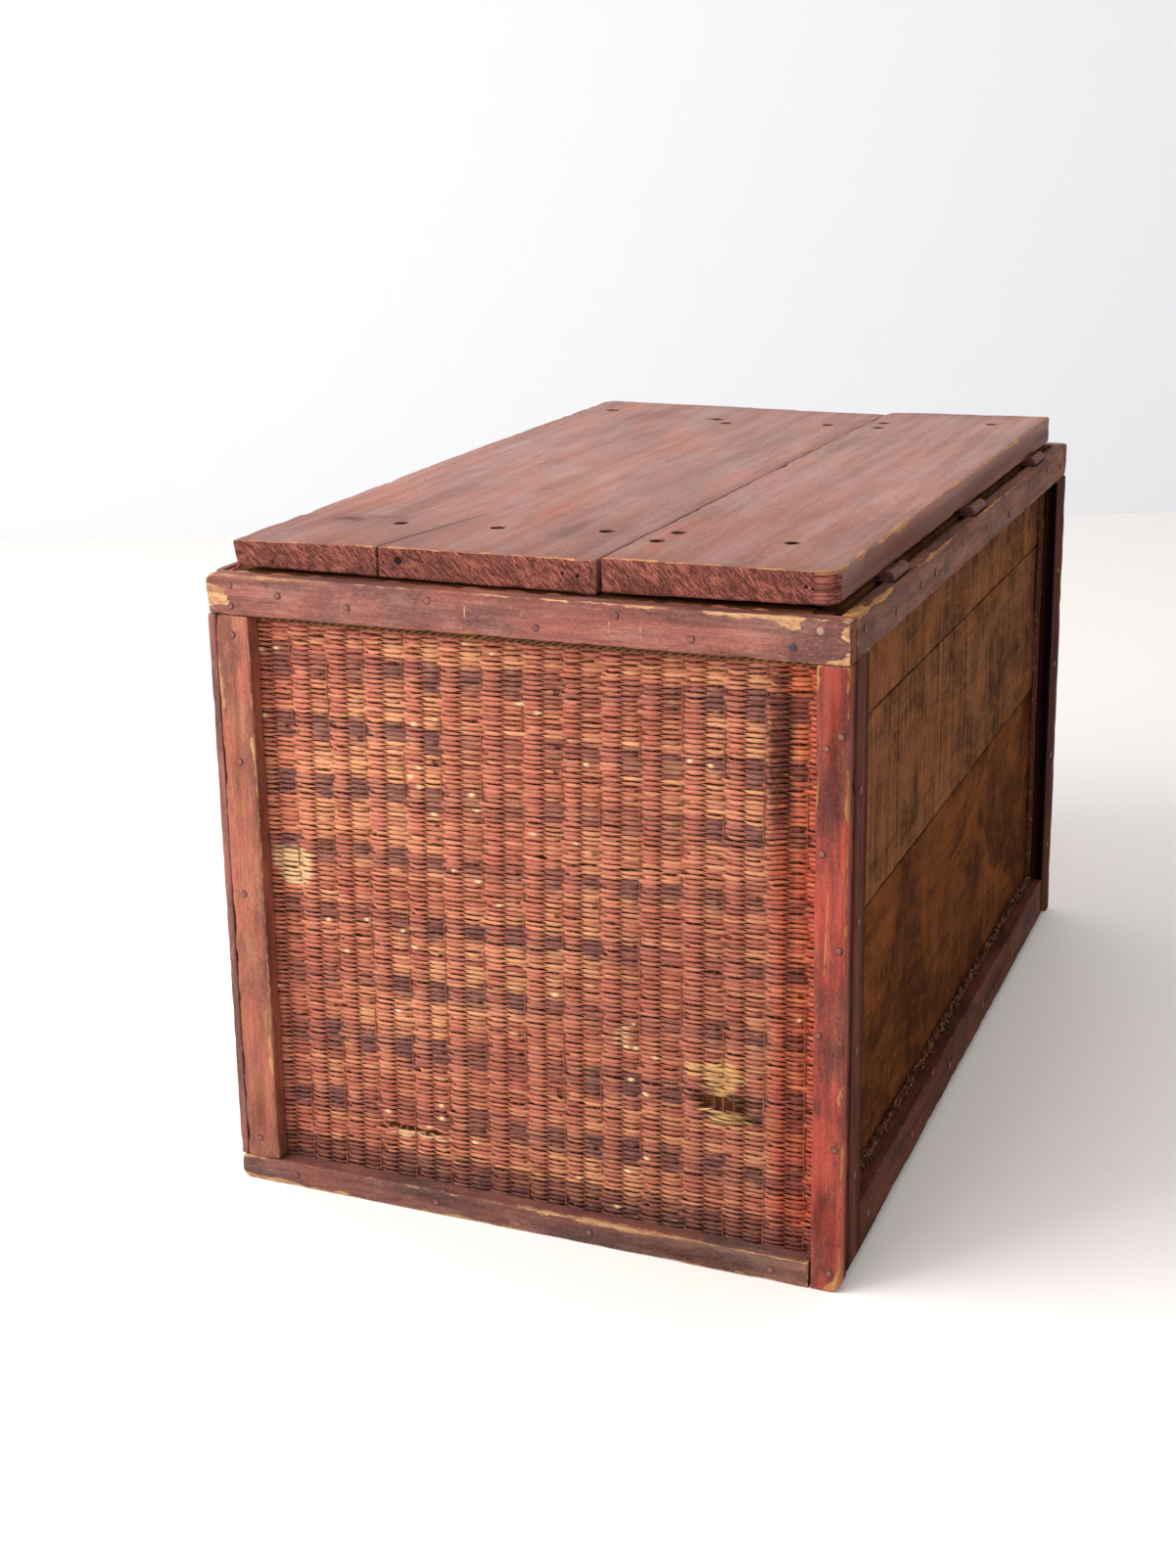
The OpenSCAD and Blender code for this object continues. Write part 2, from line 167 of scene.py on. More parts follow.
# %% Shader graph helper
class Graph:
    """A new material and short calls that add its nodes. A number goes straight into the socket it is for."""

    def __init__(self, name):
        self.material = bpy.data.materials.new(name)
        self.material.use_nodes = True
        self.tree = self.material.node_tree
        self.tree.nodes.clear()
        output = self.tree.nodes.new("ShaderNodeOutputMaterial")
        self.shader = self.tree.nodes.new("ShaderNodeBsdfPrincipled")
        self.tree.links.new(self.shader.outputs[0], output.inputs[0])

    def put(self, socket, value):
        if isinstance(value, bpy.types.NodeSocket):
            self.tree.links.new(value, socket)
        elif isinstance(value, (tuple, list)) and len(value) == 3 and socket.type == "RGBA":
            socket.default_value = (*value, 1.0)
        else:
            socket.default_value = value

    def node(self, kind, inputs, out=0, **settings):
        n = self.tree.nodes.new(kind)
        for key, value in settings.items():
            setattr(n, key, value)
        for key, value in inputs.items():
            self.put(n.inputs[key], value)
        return n.outputs[out]

    def attribute(self, name, out="Fac"):
        return self.node("ShaderNodeAttribute", {}, out, attribute_name=name)

    def place(self):
        return self.node("ShaderNodeTexCoord", {}, "Object")

    def scaled(self, vector, by):
        return self.node("ShaderNodeVectorMath", {0: vector, 1: by}, operation="MULTIPLY")

    def noise(self, vector, scale=1.0, detail=3.0, rough=0.5, distort=0.0):
        return self.node("ShaderNodeTexNoise",
                         {"Vector": vector, "Scale": scale, "Detail": detail, "Roughness": rough,
                          "Distortion": distort})

    def figure(self, by, detail, rough=0.5, distort=0.0):
        """Noise that follows the grain. by is how fine it is along, across and through the grain, per metre."""
        return self.noise(self.scaled(self.grain, by), 1.0, detail, rough, distort)

    def math(self, operation, a, b=0.0, c=0.0):
        return self.node("ShaderNodeMath", {0: a, 1: b, 2: c}, operation=operation)

    def between(self, value, a, b, low=0.0, high=1.0):
        """low where value is at a, high where it is at b, held outside, with a smooth S between."""
        return self.node("ShaderNodeMapRange",
                         {"Value": value, "From Min": a, "From Max": b, "To Min": low, "To Max": high},
                         interpolation_type="SMOOTHSTEP")

    def mix(self, share, a, b):
        n = self.tree.nodes.new("ShaderNodeMix")
        n.data_type = "RGBA"
        self.put(n.inputs[0], share)
        self.put(n.inputs[6], a)
        self.put(n.inputs[7], b)
        return n.outputs[2]

    def coats(self, base, *layers):
        """Lays colours over base in turn. A layer is (mask, a, b, share, colour): none of it where the
        mask is at a, and that share of it where the mask is at b."""
        for mask, a, b, share, colour in layers:
            base = self.mix(self.between(mask, a, b, 0.0, share), base, colour)
        return base

    def spot(self, x, y, z, r0, r1):
        """1 inside radius r0 of a point in metres, 0 outside r1."""
        d = self.node("ShaderNodeVectorMath", {0: self.place(), 1: (x, y, z)}, "Value", operation="DISTANCE")
        return self.between(d, r0, r1, 1.0, 0.0)

    def line(self, x0, z0, x1, z1, half=0.24):
        """1 on a straight scratch between two points of the front face, all in millimetres."""
        n = self.tree.nodes.new("ShaderNodeSeparateXYZ")
        self.put(n.inputs[0], self.place())
        t = self.between(n.outputs["Z"], z0 * MM, z1 * MM)
        at = self.node("ShaderNodeMapRange", {"Value": n.outputs["Z"], "From Min": z0 * MM, "From Max": z1 * MM,
                                              "To Min": x0 * MM, "To Max": x1 * MM})
        away = self.math("ABSOLUTE", self.math("SUBTRACT", n.outputs["X"], at))
        ends = self.math("MULTIPLY", self.between(t, 0.0, 0.02), self.between(t, 1.0, 0.98))
        return self.math("MULTIPLY", self.between(away, half * 2 * MM, half * MM), ends)

    def finish(self, colour, roughness, height=None, distance=0.001, strength=1.0, specular=0.5):
        self.put(self.shader.inputs["Base Color"], colour)
        self.put(self.shader.inputs["Roughness"], roughness)
        self.put(self.shader.inputs["Specular IOR Level"], specular)
        if height is not None:
            normal = self.node("ShaderNodeBump", {"Height": height, "Distance": distance, "Strength": strength})
            self.put(self.shader.inputs["Normal"], normal)
        return self.material


def tint(red, green, blue):
    """Display values from 0 to 255 as the linear colour a shader wants."""
    v = np.array([red, green, blue]) / 255
    return tuple(float(x) for x in np.where(v <= 0.04045, v / 12.92, ((v + 0.055) / 1.055) ** 2.4))


def dim(colour, k):
    """The colour k times as bright."""
    return tuple(k * c for c in colour)


# %% [markdown]
# ## Old paint on worn laths
#
# Two readings that each mesh carries decide where the paint is gone: "arris" is how far a point is from the
# nearest edge, in millimetres, and "bare" is how wide the worn band is there. Noise stretched along the grain
# frays the line between paint and wood.

# %% Painted wood
def painted(name, dark, mid, dusty, wood_low, wood_high, rough=0.62, film=0.35, lines=1.0, round_by=1.0,
            scratches=(), blush=0.0, shine=0.4):
    """dark, mid and dusty are three states of one paint: grimy, sound, and rubbed pale. lines sets how strongly the
    grain shows, and round_by how much shorter the clouds are along the grain. scratches are pale lines on the front
    face: (x, z) of both ends in millimetres. blush is the share of long orange patches; a board that has them also
    gets a painted sheen: paler and greyer from its middle to its rear, and darker near its front."""
    g = Graph(name)
    g.grain = g.attribute("grain", "Vector")
    fibre = g.figure((22, 620, 620), 6.0, 0.65)
    streak = g.figure((7, 110, 110), 5.0, 0.6)
    cloud = g.figure((13 * round_by, 34, 34), 6.0, 0.62)
    cloud2 = g.figure((21 * round_by, 55, 48), 6.0, 0.68)
    grit = g.figure((420, 900, 900), 4.0, 0.7)
    chips = g.figure((110, 330, 330), 6.0, 0.62)
    islands = g.figure((26, 70, 70), 5.0, 0.55)
    scuff = g.figure((75, 240, 240), 6.0, 0.72, 1.2)
    paint = g.mix(g.between(cloud, 0.4, 0.58), dark, mid)
    paint = g.coats(paint, (cloud2, 0.44, 0.68, film, dusty))
    if blush:
        rosy = g.figure((5, 22, 22), 6.0, 0.65, 0.5)
        paint = g.coats(
            paint,
            (rosy, 0.5, 0.64, blush, tint(176, 94, 62)),
            (rosy, 0.46, 0.34, 0.5 * blush, tint(150, 116, 112)))
        # Painted sheen on the lid: paler and greyer from the middle to the rear, darker near the front.
        y = g.node("ShaderNodeSeparateXYZ", {0: g.place()}, "Y")
        paint = g.coats(paint, (y, -0.26, 0.0, 0.2, tint(172, 142, 134)))
        paint = g.mix(g.between(y, -0.34, -0.1, 0.22, 0.0), paint, dim(dark, 0.6))
    paint = g.coats(
        paint,
        (streak, 0.46, 0.68, 0.6 * lines, dim(dark, 0.45)),
        (grit, 0.35, 0.75, 0.22, dim(dusty, 1.3)),
        (grit, 0.5, 0.25, 0.5, dim(dark, 0.35)),
        (fibre, 0.46, 0.68, 0.6 * lines, dim(mid, 0.5)),
        (scuff, 0.57, 0.66, 0.45, dim(dark, 0.4)),
        (scuff, 0.41, 0.34, 0.35, dim(dusty, 1.15)))
    wood = g.mix(g.between(streak, 0.32, 0.66), wood_low, wood_high)
    wood = g.coats(
        wood,
        (grit, 0.45, 0.3, 0.5, wood_low),
        (cloud2, 0.5, 0.7, 0.4, mid),
        (scuff, 0.46, 0.56, 0.6, mid))
    width = g.math("MULTIPLY", g.attribute("bare"), g.between(islands, 0.36, 0.64, 0.15, 1.5))
    ragged = g.math("MULTIPLY_ADD", g.math("SUBTRACT", chips, 0.5), 9.0, g.math("SUBTRACT", width, 0.9))
    worn = g.between(g.math("SUBTRACT", ragged, g.attribute("arris")), -0.5, 0.7)
    speck = g.between(chips, 0.7, 0.74, 0.0, 0.6)
    near_edge = g.between(g.attribute("arris"), 1.0, 9.0, 1.0, 0.1)
    worn = g.math("MAXIMUM", worn, g.math("MULTIPLY", speck, near_edge))
    colour = g.mix(worn, paint, wood)
    for x0, z0, x1, z1 in scratches:
        share = g.math("MULTIPLY", g.line(x0, z0, x1, z1), g.between(chips, 0.42, 0.52, 0.1, 0.8))
        colour = g.mix(share, colour, wood_high)
    # Darkening from the mesh: real grime in some places, painted shade in others (side faces turned from the light,
    # recesses and cracks); near black where it is strongest.
    colour = g.mix(g.attribute("dirt"), colour, tint(48, 24, 19))
    colour = g.coats(colour, (g.attribute("dirt"), 0.8, 0.93, 1.0, tint(16, 9, 8)))
    bump = g.math("MULTIPLY_ADD", fibre, 0.6, g.math("MULTIPLY", grit, 0.5))
    bump = g.math("MULTIPLY_ADD", worn, -0.7, bump)
    gloss = g.between(g.attribute("dirt"), 0.0, 0.6, shine, 0.1 * shine)
    return g.finish(colour, g.between(streak, 0.3, 0.7, rough - 0.1, rough + 0.12), bump, 0.0007, 0.8, gloss)


OCHRE, CREAM = tint(138, 90, 50), tint(194, 152, 106)
OXBLOOD = painted("Oxblood paint", tint(90, 48, 42), tint(136, 70, 58), tint(162, 114, 100), OCHRE, CREAM,
                  film=0.5, scratches=[
                      (-29.6, 421.5, -29.9, 413.5), (85.6, 419.8, 86.7, 407.9), (66.1, 418.9, 66.0, 411.7)])
CORAL = painted("Coral oxblood paint", tint(104, 50, 38), tint(156, 80, 62), tint(164, 112, 78), OCHRE, CREAM,
                film=0.6)
DEEP = painted("Deep oxblood paint", tint(70, 32, 27), tint(162, 61, 48), tint(166, 94, 76), OCHRE,
               tint(172, 126, 70), film=0.45, scratches=[(203.4, 267.6, 201.1, 208.1)], shine=0.25)
GRIMY = painted("Grimy oxblood paint", tint(68, 38, 33), tint(114, 58, 47), tint(136, 98, 84), OCHRE,
                tint(196, 160, 112), 0.7, 0.6)
LID_PAINT = painted("Lid paint", tint(128, 80, 67), tint(148, 87, 72), tint(160, 122, 111),
                    tint(150, 92, 50), tint(196, 142, 84), 0.56, 0.6, lines=0.25, round_by=0.5, blush=0.55,
                    shine=0.33)
# Painted shade: two darker copies of the oxblood paint for the hinge side, which faces away from the light; the
# second, darker one is for its stiles and bottom rail.
SHADE_PAINT = painted("Oxblood paint shaded for the hinge side", tint(76, 40, 28), tint(116, 64, 46), tint(138, 96, 76), OCHRE,
                      tint(180, 130, 70), 0.75, 0.5, shine=0.25)
HINGE_SIDE_SHADED_PAINT = painted("Oxblood paint deeply shaded for the hinge side", tint(54, 24, 14), tint(86, 40, 26), tint(104, 60, 42), OCHRE,
                     tint(150, 108, 60), 0.8, 0.5, shine=0.12)


# %% End grain
def end_grain(name, dark, light, holes=()):
    g = Graph(name)
    g.grain = g.attribute("grain", "Vector")
    warp = g.figure((40, 60, 60), 3.0)
    centre = g.node("ShaderNodeVectorMath", {0: g.scaled(g.grain, (0, 1, 1)), 1: (0, 0.03, -0.09)}, "Value",
                    operation="DISTANCE")
    rings = g.math("SINE", g.math("MULTIPLY_ADD", centre, 3400.0, g.math("MULTIPLY", warp, 16.0)))
    pores = g.figure((300, 900, 900), 5.0, 0.7)
    lean = g.node("ShaderNodeVectorRotate", {"Vector": g.grain, "Angle": 0.75}, rotation_type="X_AXIS")
    torn = g.noise(g.scaled(lean, (90, 150, 620)), 1.0, 6.0, 0.75)
    colour = g.mix(g.between(torn, 0.4, 0.6), dark, light)
    colour = g.coats(
        colour,
        (warp, 0.4, 0.62, 0.5, dark),
        (rings, -0.5, 0.8, 0.35, dim(dark, 0.45)),
        (pores, 0.52, 0.66, 0.85, dim(dark, 0.25)),
        (pores, 0.42, 0.34, 0.6, dim(light, 1.5)))
    height = g.math("MULTIPLY_ADD", torn, 0.9, g.math("MULTIPLY", rings, 0.2))
    for x, y, z, r in holes:
        hole = g.spot(x * MM, y * MM, z * MM, r * 0.6 * MM, r * MM)
        colour = g.mix(hole, colour, tint(24, 12, 12))
        height = g.math("MULTIPLY_ADD", hole, -2.0, height)
    return g.finish(colour, 0.85, height, 0.0012, 1.0, 0.2)


LATH_END = end_grain("Lath end grain", tint(96, 48, 42), tint(150, 100, 70))
BOARD_END = end_grain("Board end grain", tint(62, 38, 26), tint(104, 70, 46))
LID_END = end_grain("Lid end grain", tint(80, 38, 32), tint(170, 98, 83), [
    (-79, -340, 444.5, 3.0), (-170, -340, 438, 1.3), (32, -340, 444, 1.3), (42, -340, 443, 1.5),
    (185, -340, 446, 1.4), (189, -340, 445, 1.2)])


# %% Rough-sawn boards
def sawn(name, dark, light, gold, golden, marks):
    """golden is how strongly the golden patches show, and marks how strongly the saw's cross lines do."""
    g = Graph(name)
    g.grain = g.attribute("grain", "Vector")
    fibre = g.figure((12, 380, 380), 6.0, 0.6)
    saw = g.figure((520, 12, 12), 3.0, 0.6, 0.25)
    coarse = g.figure((130, 9, 9), 4.0, 0.65, 0.5)
    pale = g.figure((90, 9, 9), 5.0, 0.7, 0.4)
    blotch = g.figure((14, 24, 24), 7.0, 0.72, 0.8)
    patch = g.figure((7, 12, 12), 6.0, 0.65, 1.2)
    colour = g.mix(g.between(blotch, 0.38, 0.6), dark, light)
    colour = g.coats(
        colour,
        (patch, 0.46, 0.62, golden, gold),
        (patch, 0.44, 0.34, 0.4, dim(dark, 0.35)),
        (coarse, 0.5, 0.68, 0.3 * marks, dim(dark, 0.35)),
        (pale, 0.52, 0.7, 0.6 * marks, dim(light, 1.7)),
        (saw, 0.45, 0.7, 0.5 * marks, dim(light, 1.9)),
        (saw, 0.5, 0.32, 0.6 * marks, dim(dark, 0.35)))
    crumbs = g.figure((60, 120, 120), 6.0, 0.8)
    colour = g.coats(
        colour,
        (crumbs, 0.52, 0.64, 0.35, dim(dark, 0.4)),
        (crumbs, 0.42, 0.34, 0.5, dim(light, 1.6)),
        (fibre, 0.5, 0.7, 0.35, dim(dark, 0.4)))
    # Darkening from the mesh; on these boards it is painted shade beside the stiles and under the top rail.
    colour = g.mix(g.attribute("dirt"), colour, tint(16, 9, 6))
    height = g.math("MULTIPLY_ADD", saw, 1.0, g.math("MULTIPLY", fibre, 0.6))
    return g.finish(colour, 0.95, height, 0.0008, 0.8, 0.03)


SAWN = sawn("Rough-sawn board", tint(66, 37, 20), tint(110, 70, 45), tint(140, 86, 48), 0.5, 1.0)
PLAIN_BOARD = sawn("Inner board", tint(66, 37, 20), tint(104, 64, 38), tint(136, 82, 44), 0.5, 0.35)
SAWN_GOLD = sawn("Golden rough-sawn board", tint(60, 29, 12), tint(92, 51, 24), tint(128, 74, 34), 0.55, 0.5)
print("materials:", len(bpy.data.materials))

# %% [markdown]
# ## A worn board
#
# A board starts as a block ruled with lines that lie close together near its edges. Each point is then pulled
# to a rounded shape: take the nearest point of a smaller block inside, and step out from it by the rounding
# radius. Where the radius grows with noise, the edge looks knocked and worn.

# %% Board builder
def stops(low, high, radius, pitch, extra=()):
    """Ruling lines from low to high: close together in both rounded margins, then about pitch apart."""
    margin = radius * np.array([0, 0.3, 0.65, 1.0, 1.8])
    margin = margin[margin < (high - low) * 0.42]
    count = max(1, int(round((high - low - 2 * margin[-1]) / pitch)))
    middle = np.linspace(low + margin[-1], high - margin[-1], count + 1)
    lines = np.concatenate([low + margin[:-1], middle, high - margin[:-1], np.asarray(extra, float)])
    lines = np.unique(np.round(lines[(lines >= low) & (lines <= high)], 3))
    return lines


def block_shell(xs, ys, zs):
    """Points and outward quads on the six sides of a block ruled at xs, ys and zs, and each quad's axis."""
    rules, count = [xs, ys, zs], [len(xs), len(ys), len(zs)]
    quads, axes = [], []
    for axis in range(3):
        u, v = (axis + 1) % 3, (axis + 2) % 3
        iu, iv = np.meshgrid(np.arange(count[u] - 1), np.arange(count[v] - 1), indexing="ij")
        for side in (0, count[axis] - 1):
            corners = []
            for du, dv in ((0, 0), (1, 0), (1, 1), (0, 1)):
                index = [None, None, None]
                index[axis], index[u], index[v] = np.full(iu.shape, side), iu + du, iv + dv
                corners.append((index[0] * count[1] + index[1]) * count[2] + index[2])
            face = np.stack(corners, -1).reshape(-1, 4)
            quads.append(face if side else face[:, ::-1])
            axes.append(np.full(len(face), axis))
    ids, inverse = np.unique(np.concatenate(quads), return_inverse=True)
    points = np.stack([rules[0][ids // (count[1] * count[2])], rules[1][(ids // count[2]) % count[1]],
                       rules[2][ids % count[2]]], 1)
    return points, inverse.reshape(-1, 4), np.concatenate(axes)


def pile(p, spots):
    """Sum of soft heaps: each spot is (x, y, z, sx, sy, sz, height) in millimetres."""
    total = np.zeros(len(p))
    for s in spots:
        total += s[6] * np.exp(-((((p - s[:3]) / s[3:6]) ** 2).sum(1)))
    return total


SEED = iter(range(100, 900))


def board(node, material, end_material, grain=None, radius=1.2, dents=1.0, pitch=4.0, wear=1.0, bare=(),
          dirt=(), uneven=0.25, shape=None, extra=((), (), ()), slot="lath_paint"):
    """A worn board in the place of a CAD node. bare and dirt are heaps: bare widens the worn band, dirt darkens,
    as grime on some boards and as painted shade on others. shape moves the finished points, for a taper, a notch or a
    warp."""
    seed = next(SEED)
    low, high = (np.array(v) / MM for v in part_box(node))
    along = int(np.argmax(high - low)) if grain is None else grain
    lines = [stops(low[i], high[i], radius, pitch if i != along else pitch * 1.5, extra[i]) for i in range(3)]
    p, quads, axes = block_shell(*lines)
    gap = np.minimum(p - low, high - p)
    arris = np.sort(gap, 1)[:, 1]
    knock = np.clip(hills(p, 22.0, seed), 0, 1) ** 2 + 0.6 * np.clip(hills(p, 7.0, seed + 1), 0, 1) ** 2
    round_by = np.minimum(radius * (0.7 + dents * knock), 0.45 * (high - low).min())[:, None]
    core = np.clip(p, low + round_by, high - round_by)
    away = p - core
    away /= np.linalg.norm(away, axis=1, keepdims=True)
    sunk = uneven * (0.5 + 0.5 * hills(p, 45.0, seed + 2))
    q = core + away * (round_by - np.clip(sunk, 0, uneven)[:, None])
    order = [along, (along + 1) % 3, (along + 2) % 3]
    shift = np.random.default_rng(seed).uniform(0, 5, 3)
    grain_at = p[:, order] * MM + shift
    base = wear * np.clip(0.7 + 0.9 * hills(p, 30.0, seed + 3), 0.1, 2.5)
    bare_at = base + pile(p, bare)
    # Heaps that darken: real grime and painted shade.
    dirt_at = np.clip(pile(p, dirt), 0, 0.95)
    # The shape may add painted shade of its own, in pockets and cracks.
    if shape is not None:
        q, more_dirt = shape(p, q)
        dirt_at = np.maximum(dirt_at, more_dirt)
    obj = mesh_piece(node + "_worn", q, quads, [material, end_material], index=(axes == along).astype(int),
                     arris=arris, bare=bare_at, dirt=dirt_at, grain=grain_at)
    return stand_in(obj, node, slot)

# %% [markdown]
# ## Laths of the ends and sides
#
# Each lath gets its own worn places. A heap is written as a place, a size and a width, all in millimetres.

# %% Knocked-off corners
def rounded(*corners):
    """Rounds corners of a lath, seen from the end: each is (x, z, radius, side in x, side in z)."""
    def shape(p, q):
        q = q.copy()
        for x, z, r, sx, sz in corners:
            dx, dz = (q[:, 0] - (x - sx * r)) * sx, (q[:, 2] - (z - sz * r)) * sz
            square, circle = np.maximum(dx, dz), np.hypot(dx, dz) + 1e-9
            scale = np.where((dx > 0) & (dz > 0), square / circle, 1.0)
            q[:, 0] = x - sx * r + sx * dx * scale * (dx > 0) + sx * dx * (dx <= 0)
            q[:, 2] = z - sz * r + sz * dz * scale * (dz > 0) + sz * dz * (dz <= 0)
        return q, np.zeros(len(p))
    return shape


def near_corner(at, side, r):
    """Ruling lines that a rounded corner of radius r needs."""
    return [at - side * r * k for k in (0.15, 0.35, 0.6, 0.85, 1.0)]


# %% Front end laths
board("front_top_rail", OXBLOOD, LATH_END, wear=0.7, radius=1.6, dents=1.6, bare=[
    (-206, -350, 430, 20, 14, 7, 5), (-150, -350, 430, 80, 7, 4, 1.8), (-206, -350, 413, 10, 14, 11, 16),
    (158, -350, 430, 52, 7, 4, 3.2), (178, -350, 425, 7, 8, 10, 14), (174, -350, 404, 9, 8, 5, 10),
    (212, -350, 422, 5, 14, 16, 6), (20, -350, 430, 60, 7, 4, 0.9), (-28, -350, 404, 7, 6, 3, 5),
    (211, -350, 405, 8, 8, 5, 5)],
    shape=rounded((-215, 430, 6, -1, 1), (215, 430, 3.5, 1, 1)),
    extra=(near_corner(-215, -1, 6) + near_corner(215, 1, 3.5), (), near_corner(430, 1, 6)))
board("front_bottom_rail", GRIMY, LATH_END, wear=0.8, radius=1.5, dents=1.2, bare=[
    (25, -350, 17.5, 45, 6, 4, 4.5), (-80, -350, 17.5, 50, 6, 3, 3.0), (110, -350, 17.5, 60, 6, 3, 2.6),
    (-175, -350, 0, 50, 8, 4, 5.5), (-214, -350, 4, 7, 14, 10, 5), (150, -350, 0, 50, 6, 4, 3.0),
    (-40, -350, 0, 60, 6, 3, 2.4)],
    dirt=[(120, -350, 6, 60, 6, 8, 0.35), (-60, -350, 9, 40, 6, 6, 0.25)],
    shape=rounded((-215, 0, 7, -1, -1), (-215, 17.5, 4, -1, 1)),
    extra=(near_corner(-215, -1, 7), (), near_corner(0, -1, 7)))
board("front_left_stile", CORAL, LATH_END, wear=0.5, radius=1.6, dents=1.4, bare=[
    (-185, -350, 320, 4, 6, 90, 2.2), (-185, -350, 120, 4, 6, 80, 1.6), (-207, -350, 352, 6, 6, 20, 3.6),
    (-203, -350, 306, 4, 6, 5, 7), (-186, -350, 318, 4, 6, 6, 4), (-186, -350, 175, 4, 6, 6, 3.4),
    (-188, -350, 100, 6, 6, 16, 3), (-197, -350, 24, 14, 6, 5, 3)],
    # The last darkening heap is painted shade on the inner edge of the stile, beside the matting.
    dirt=[(-198, -350, 296, 4, 6, 26, 0.35), (-198, -350, 60, 5, 6, 26, 0.45),
          (-184, -345, 210, 2, 6, 220, 0.3)])
board("front_hinge_stile", DEEP, LATH_END, wear=0.5, radius=1.8, dents=1.6, bare=[
    (215, -350, 345, 4, 7, 80, 5.0), (214, -350, 100, 3, 7, 30, 3.0), (212, -350, 130, 3, 6, 16, 3.4),
    (208, -350, 3, 12, 10, 9, 7), (195, -350, 395, 3, 6, 12, 3), (195, -350, 330, 3, 6, 16, 3),
    (214, -350, 20, 4, 8, 30, 3)],
    # The last darkening heap is painted shade on the side face of the stile, which faces away from the light.
    dirt=[(207, -350, 330, 5, 6, 50, 0.3), (203, -350, 378, 12, 6, 34, 0.28), (205, -350, 40, 12, 6, 24, 0.35),
          (200, -350, 60, 5, 6, 20, 0.3), (215, -340, 200, 2, 5, 900, 0.8)],
    shape=rounded((215, 0, 9, 1, -1)), extra=(near_corner(215, 1, 9), (), near_corner(0, -1, 9)))

# %% Rear end laths
for lath in ("top_rail", "bottom_rail"):
    board("rear_" + lath, OXBLOOD, LATH_END, wear=1.0, radius=1.6, dents=1.5)
board("rear_left_stile", CORAL, LATH_END, wear=1.1, radius=1.6, dents=1.5)
# Its darkening heap is painted shade on its side face, which faces away from the light.
board("rear_hinge_stile", DEEP, LATH_END, wear=0.7, radius=1.6, dents=1.5,
      dirt=[(216, 342, 215, 5, 20, 900, 0.8)])


# %% Notched stiles and the rail with pockets
def notched(edge, side):
    """Lifts the foot of a left side stile over the end of the bottom rail, for points inside y = edge."""
    def shape(p, q):
        foot = np.where((p[:, 1] - edge) * side > 0, 42.0, 17.5)
        q = q.copy()
        q[:, 2] = foot + (q[:, 2] - 17.5) * (403 - foot) / (403 - 17.5)
        return q, np.zeros(len(p))
    return shape


HINGE_MIDDLES = (-222, 8, 238)


def pocketed(p, q):
    """Sinks the top of the rail under each hinge barrel and paints shade into each pocket."""
    inside = np.zeros(len(p), bool)
    for middle in HINGE_MIDDLES:
        inside |= (abs(p[:, 1] - middle) < 21.0) & (p[:, 0] < 212.6)
    q = q.copy()
    q[:, 2] = np.where(inside, np.minimum(q[:, 2], 427.3), q[:, 2])
    # Painted shade in the pockets.
    return q, inside * step(p[:, 2], 428, 430) * 0.6


POCKET_LINES = [m + s * d for m in HINGE_MIDDLES for s in (-1, 1) for d in (20.9, 21.1)]
board("left_side_front_stile", OXBLOOD, LATH_END, wear=0.35, shape=notched(-337, 1),
      extra=((), (-337.1, -336.9), ()))
board("left_side_rear_stile", OXBLOOD, LATH_END, wear=0.8, shape=notched(337, -1),
      extra=((), (336.9, 337.1), ()))
board("left_side_top_rail", OXBLOOD, LATH_END, wear=1.2, radius=1.4)
board("left_side_bottom_rail", OXBLOOD, LATH_END, wear=1.0, radius=1.4)
board("hinge_side_top_rail", SHADE_PAINT, LATH_END, wear=0.8, radius=1.5, dents=1.5, shape=pocketed,
      extra=((212.5, 212.7), POCKET_LINES, (426, 428.5)), bare=[
          (215, -320, 430, 8, 40, 5, 6), (215, -270, 430, 6, 30, 4, 3), (215, -160, 430, 5, 30, 4, 1.6),
          (215, 30, 430, 5, 60, 4, 1.4)])
board("hinge_side_bottom_rail", HINGE_SIDE_SHADED_PAINT, LATH_END, wear=0.7, radius=1.4)
# The darkening heaps of both hinge-side stiles are painted shade: on their edges beside the front lath and the boards,
# near black on the rear one, and on the outer face of the rear one.
board("hinge_side_front_stile", HINGE_SIDE_SHADED_PAINT, LATH_END, wear=0.6, radius=1.3,
      bare=[(215, -310, 300, 3, 5, 120, 2.0)],
      dirt=[(215, -337, 200, 6, 4, 400, 0.7), (212, -309, 215, 14, 7, 500, 0.6)])
board("hinge_side_rear_stile", HINGE_SIDE_SHADED_PAINT, LATH_END, wear=0.4, radius=1.3,
      dirt=[(210, 305, 215, 16, 8, 900, 0.95), (216, 330, 215, 5, 24, 900, 0.5)])

# %% [markdown]
# ## Wall and floor boards
#
# The boards are rough from the saw and never painted. The hinge side shows its boards bare, so they get
# strong saw marks and finer points. The inner boards are hardly seen and get a plainer finish and fewer
# points.

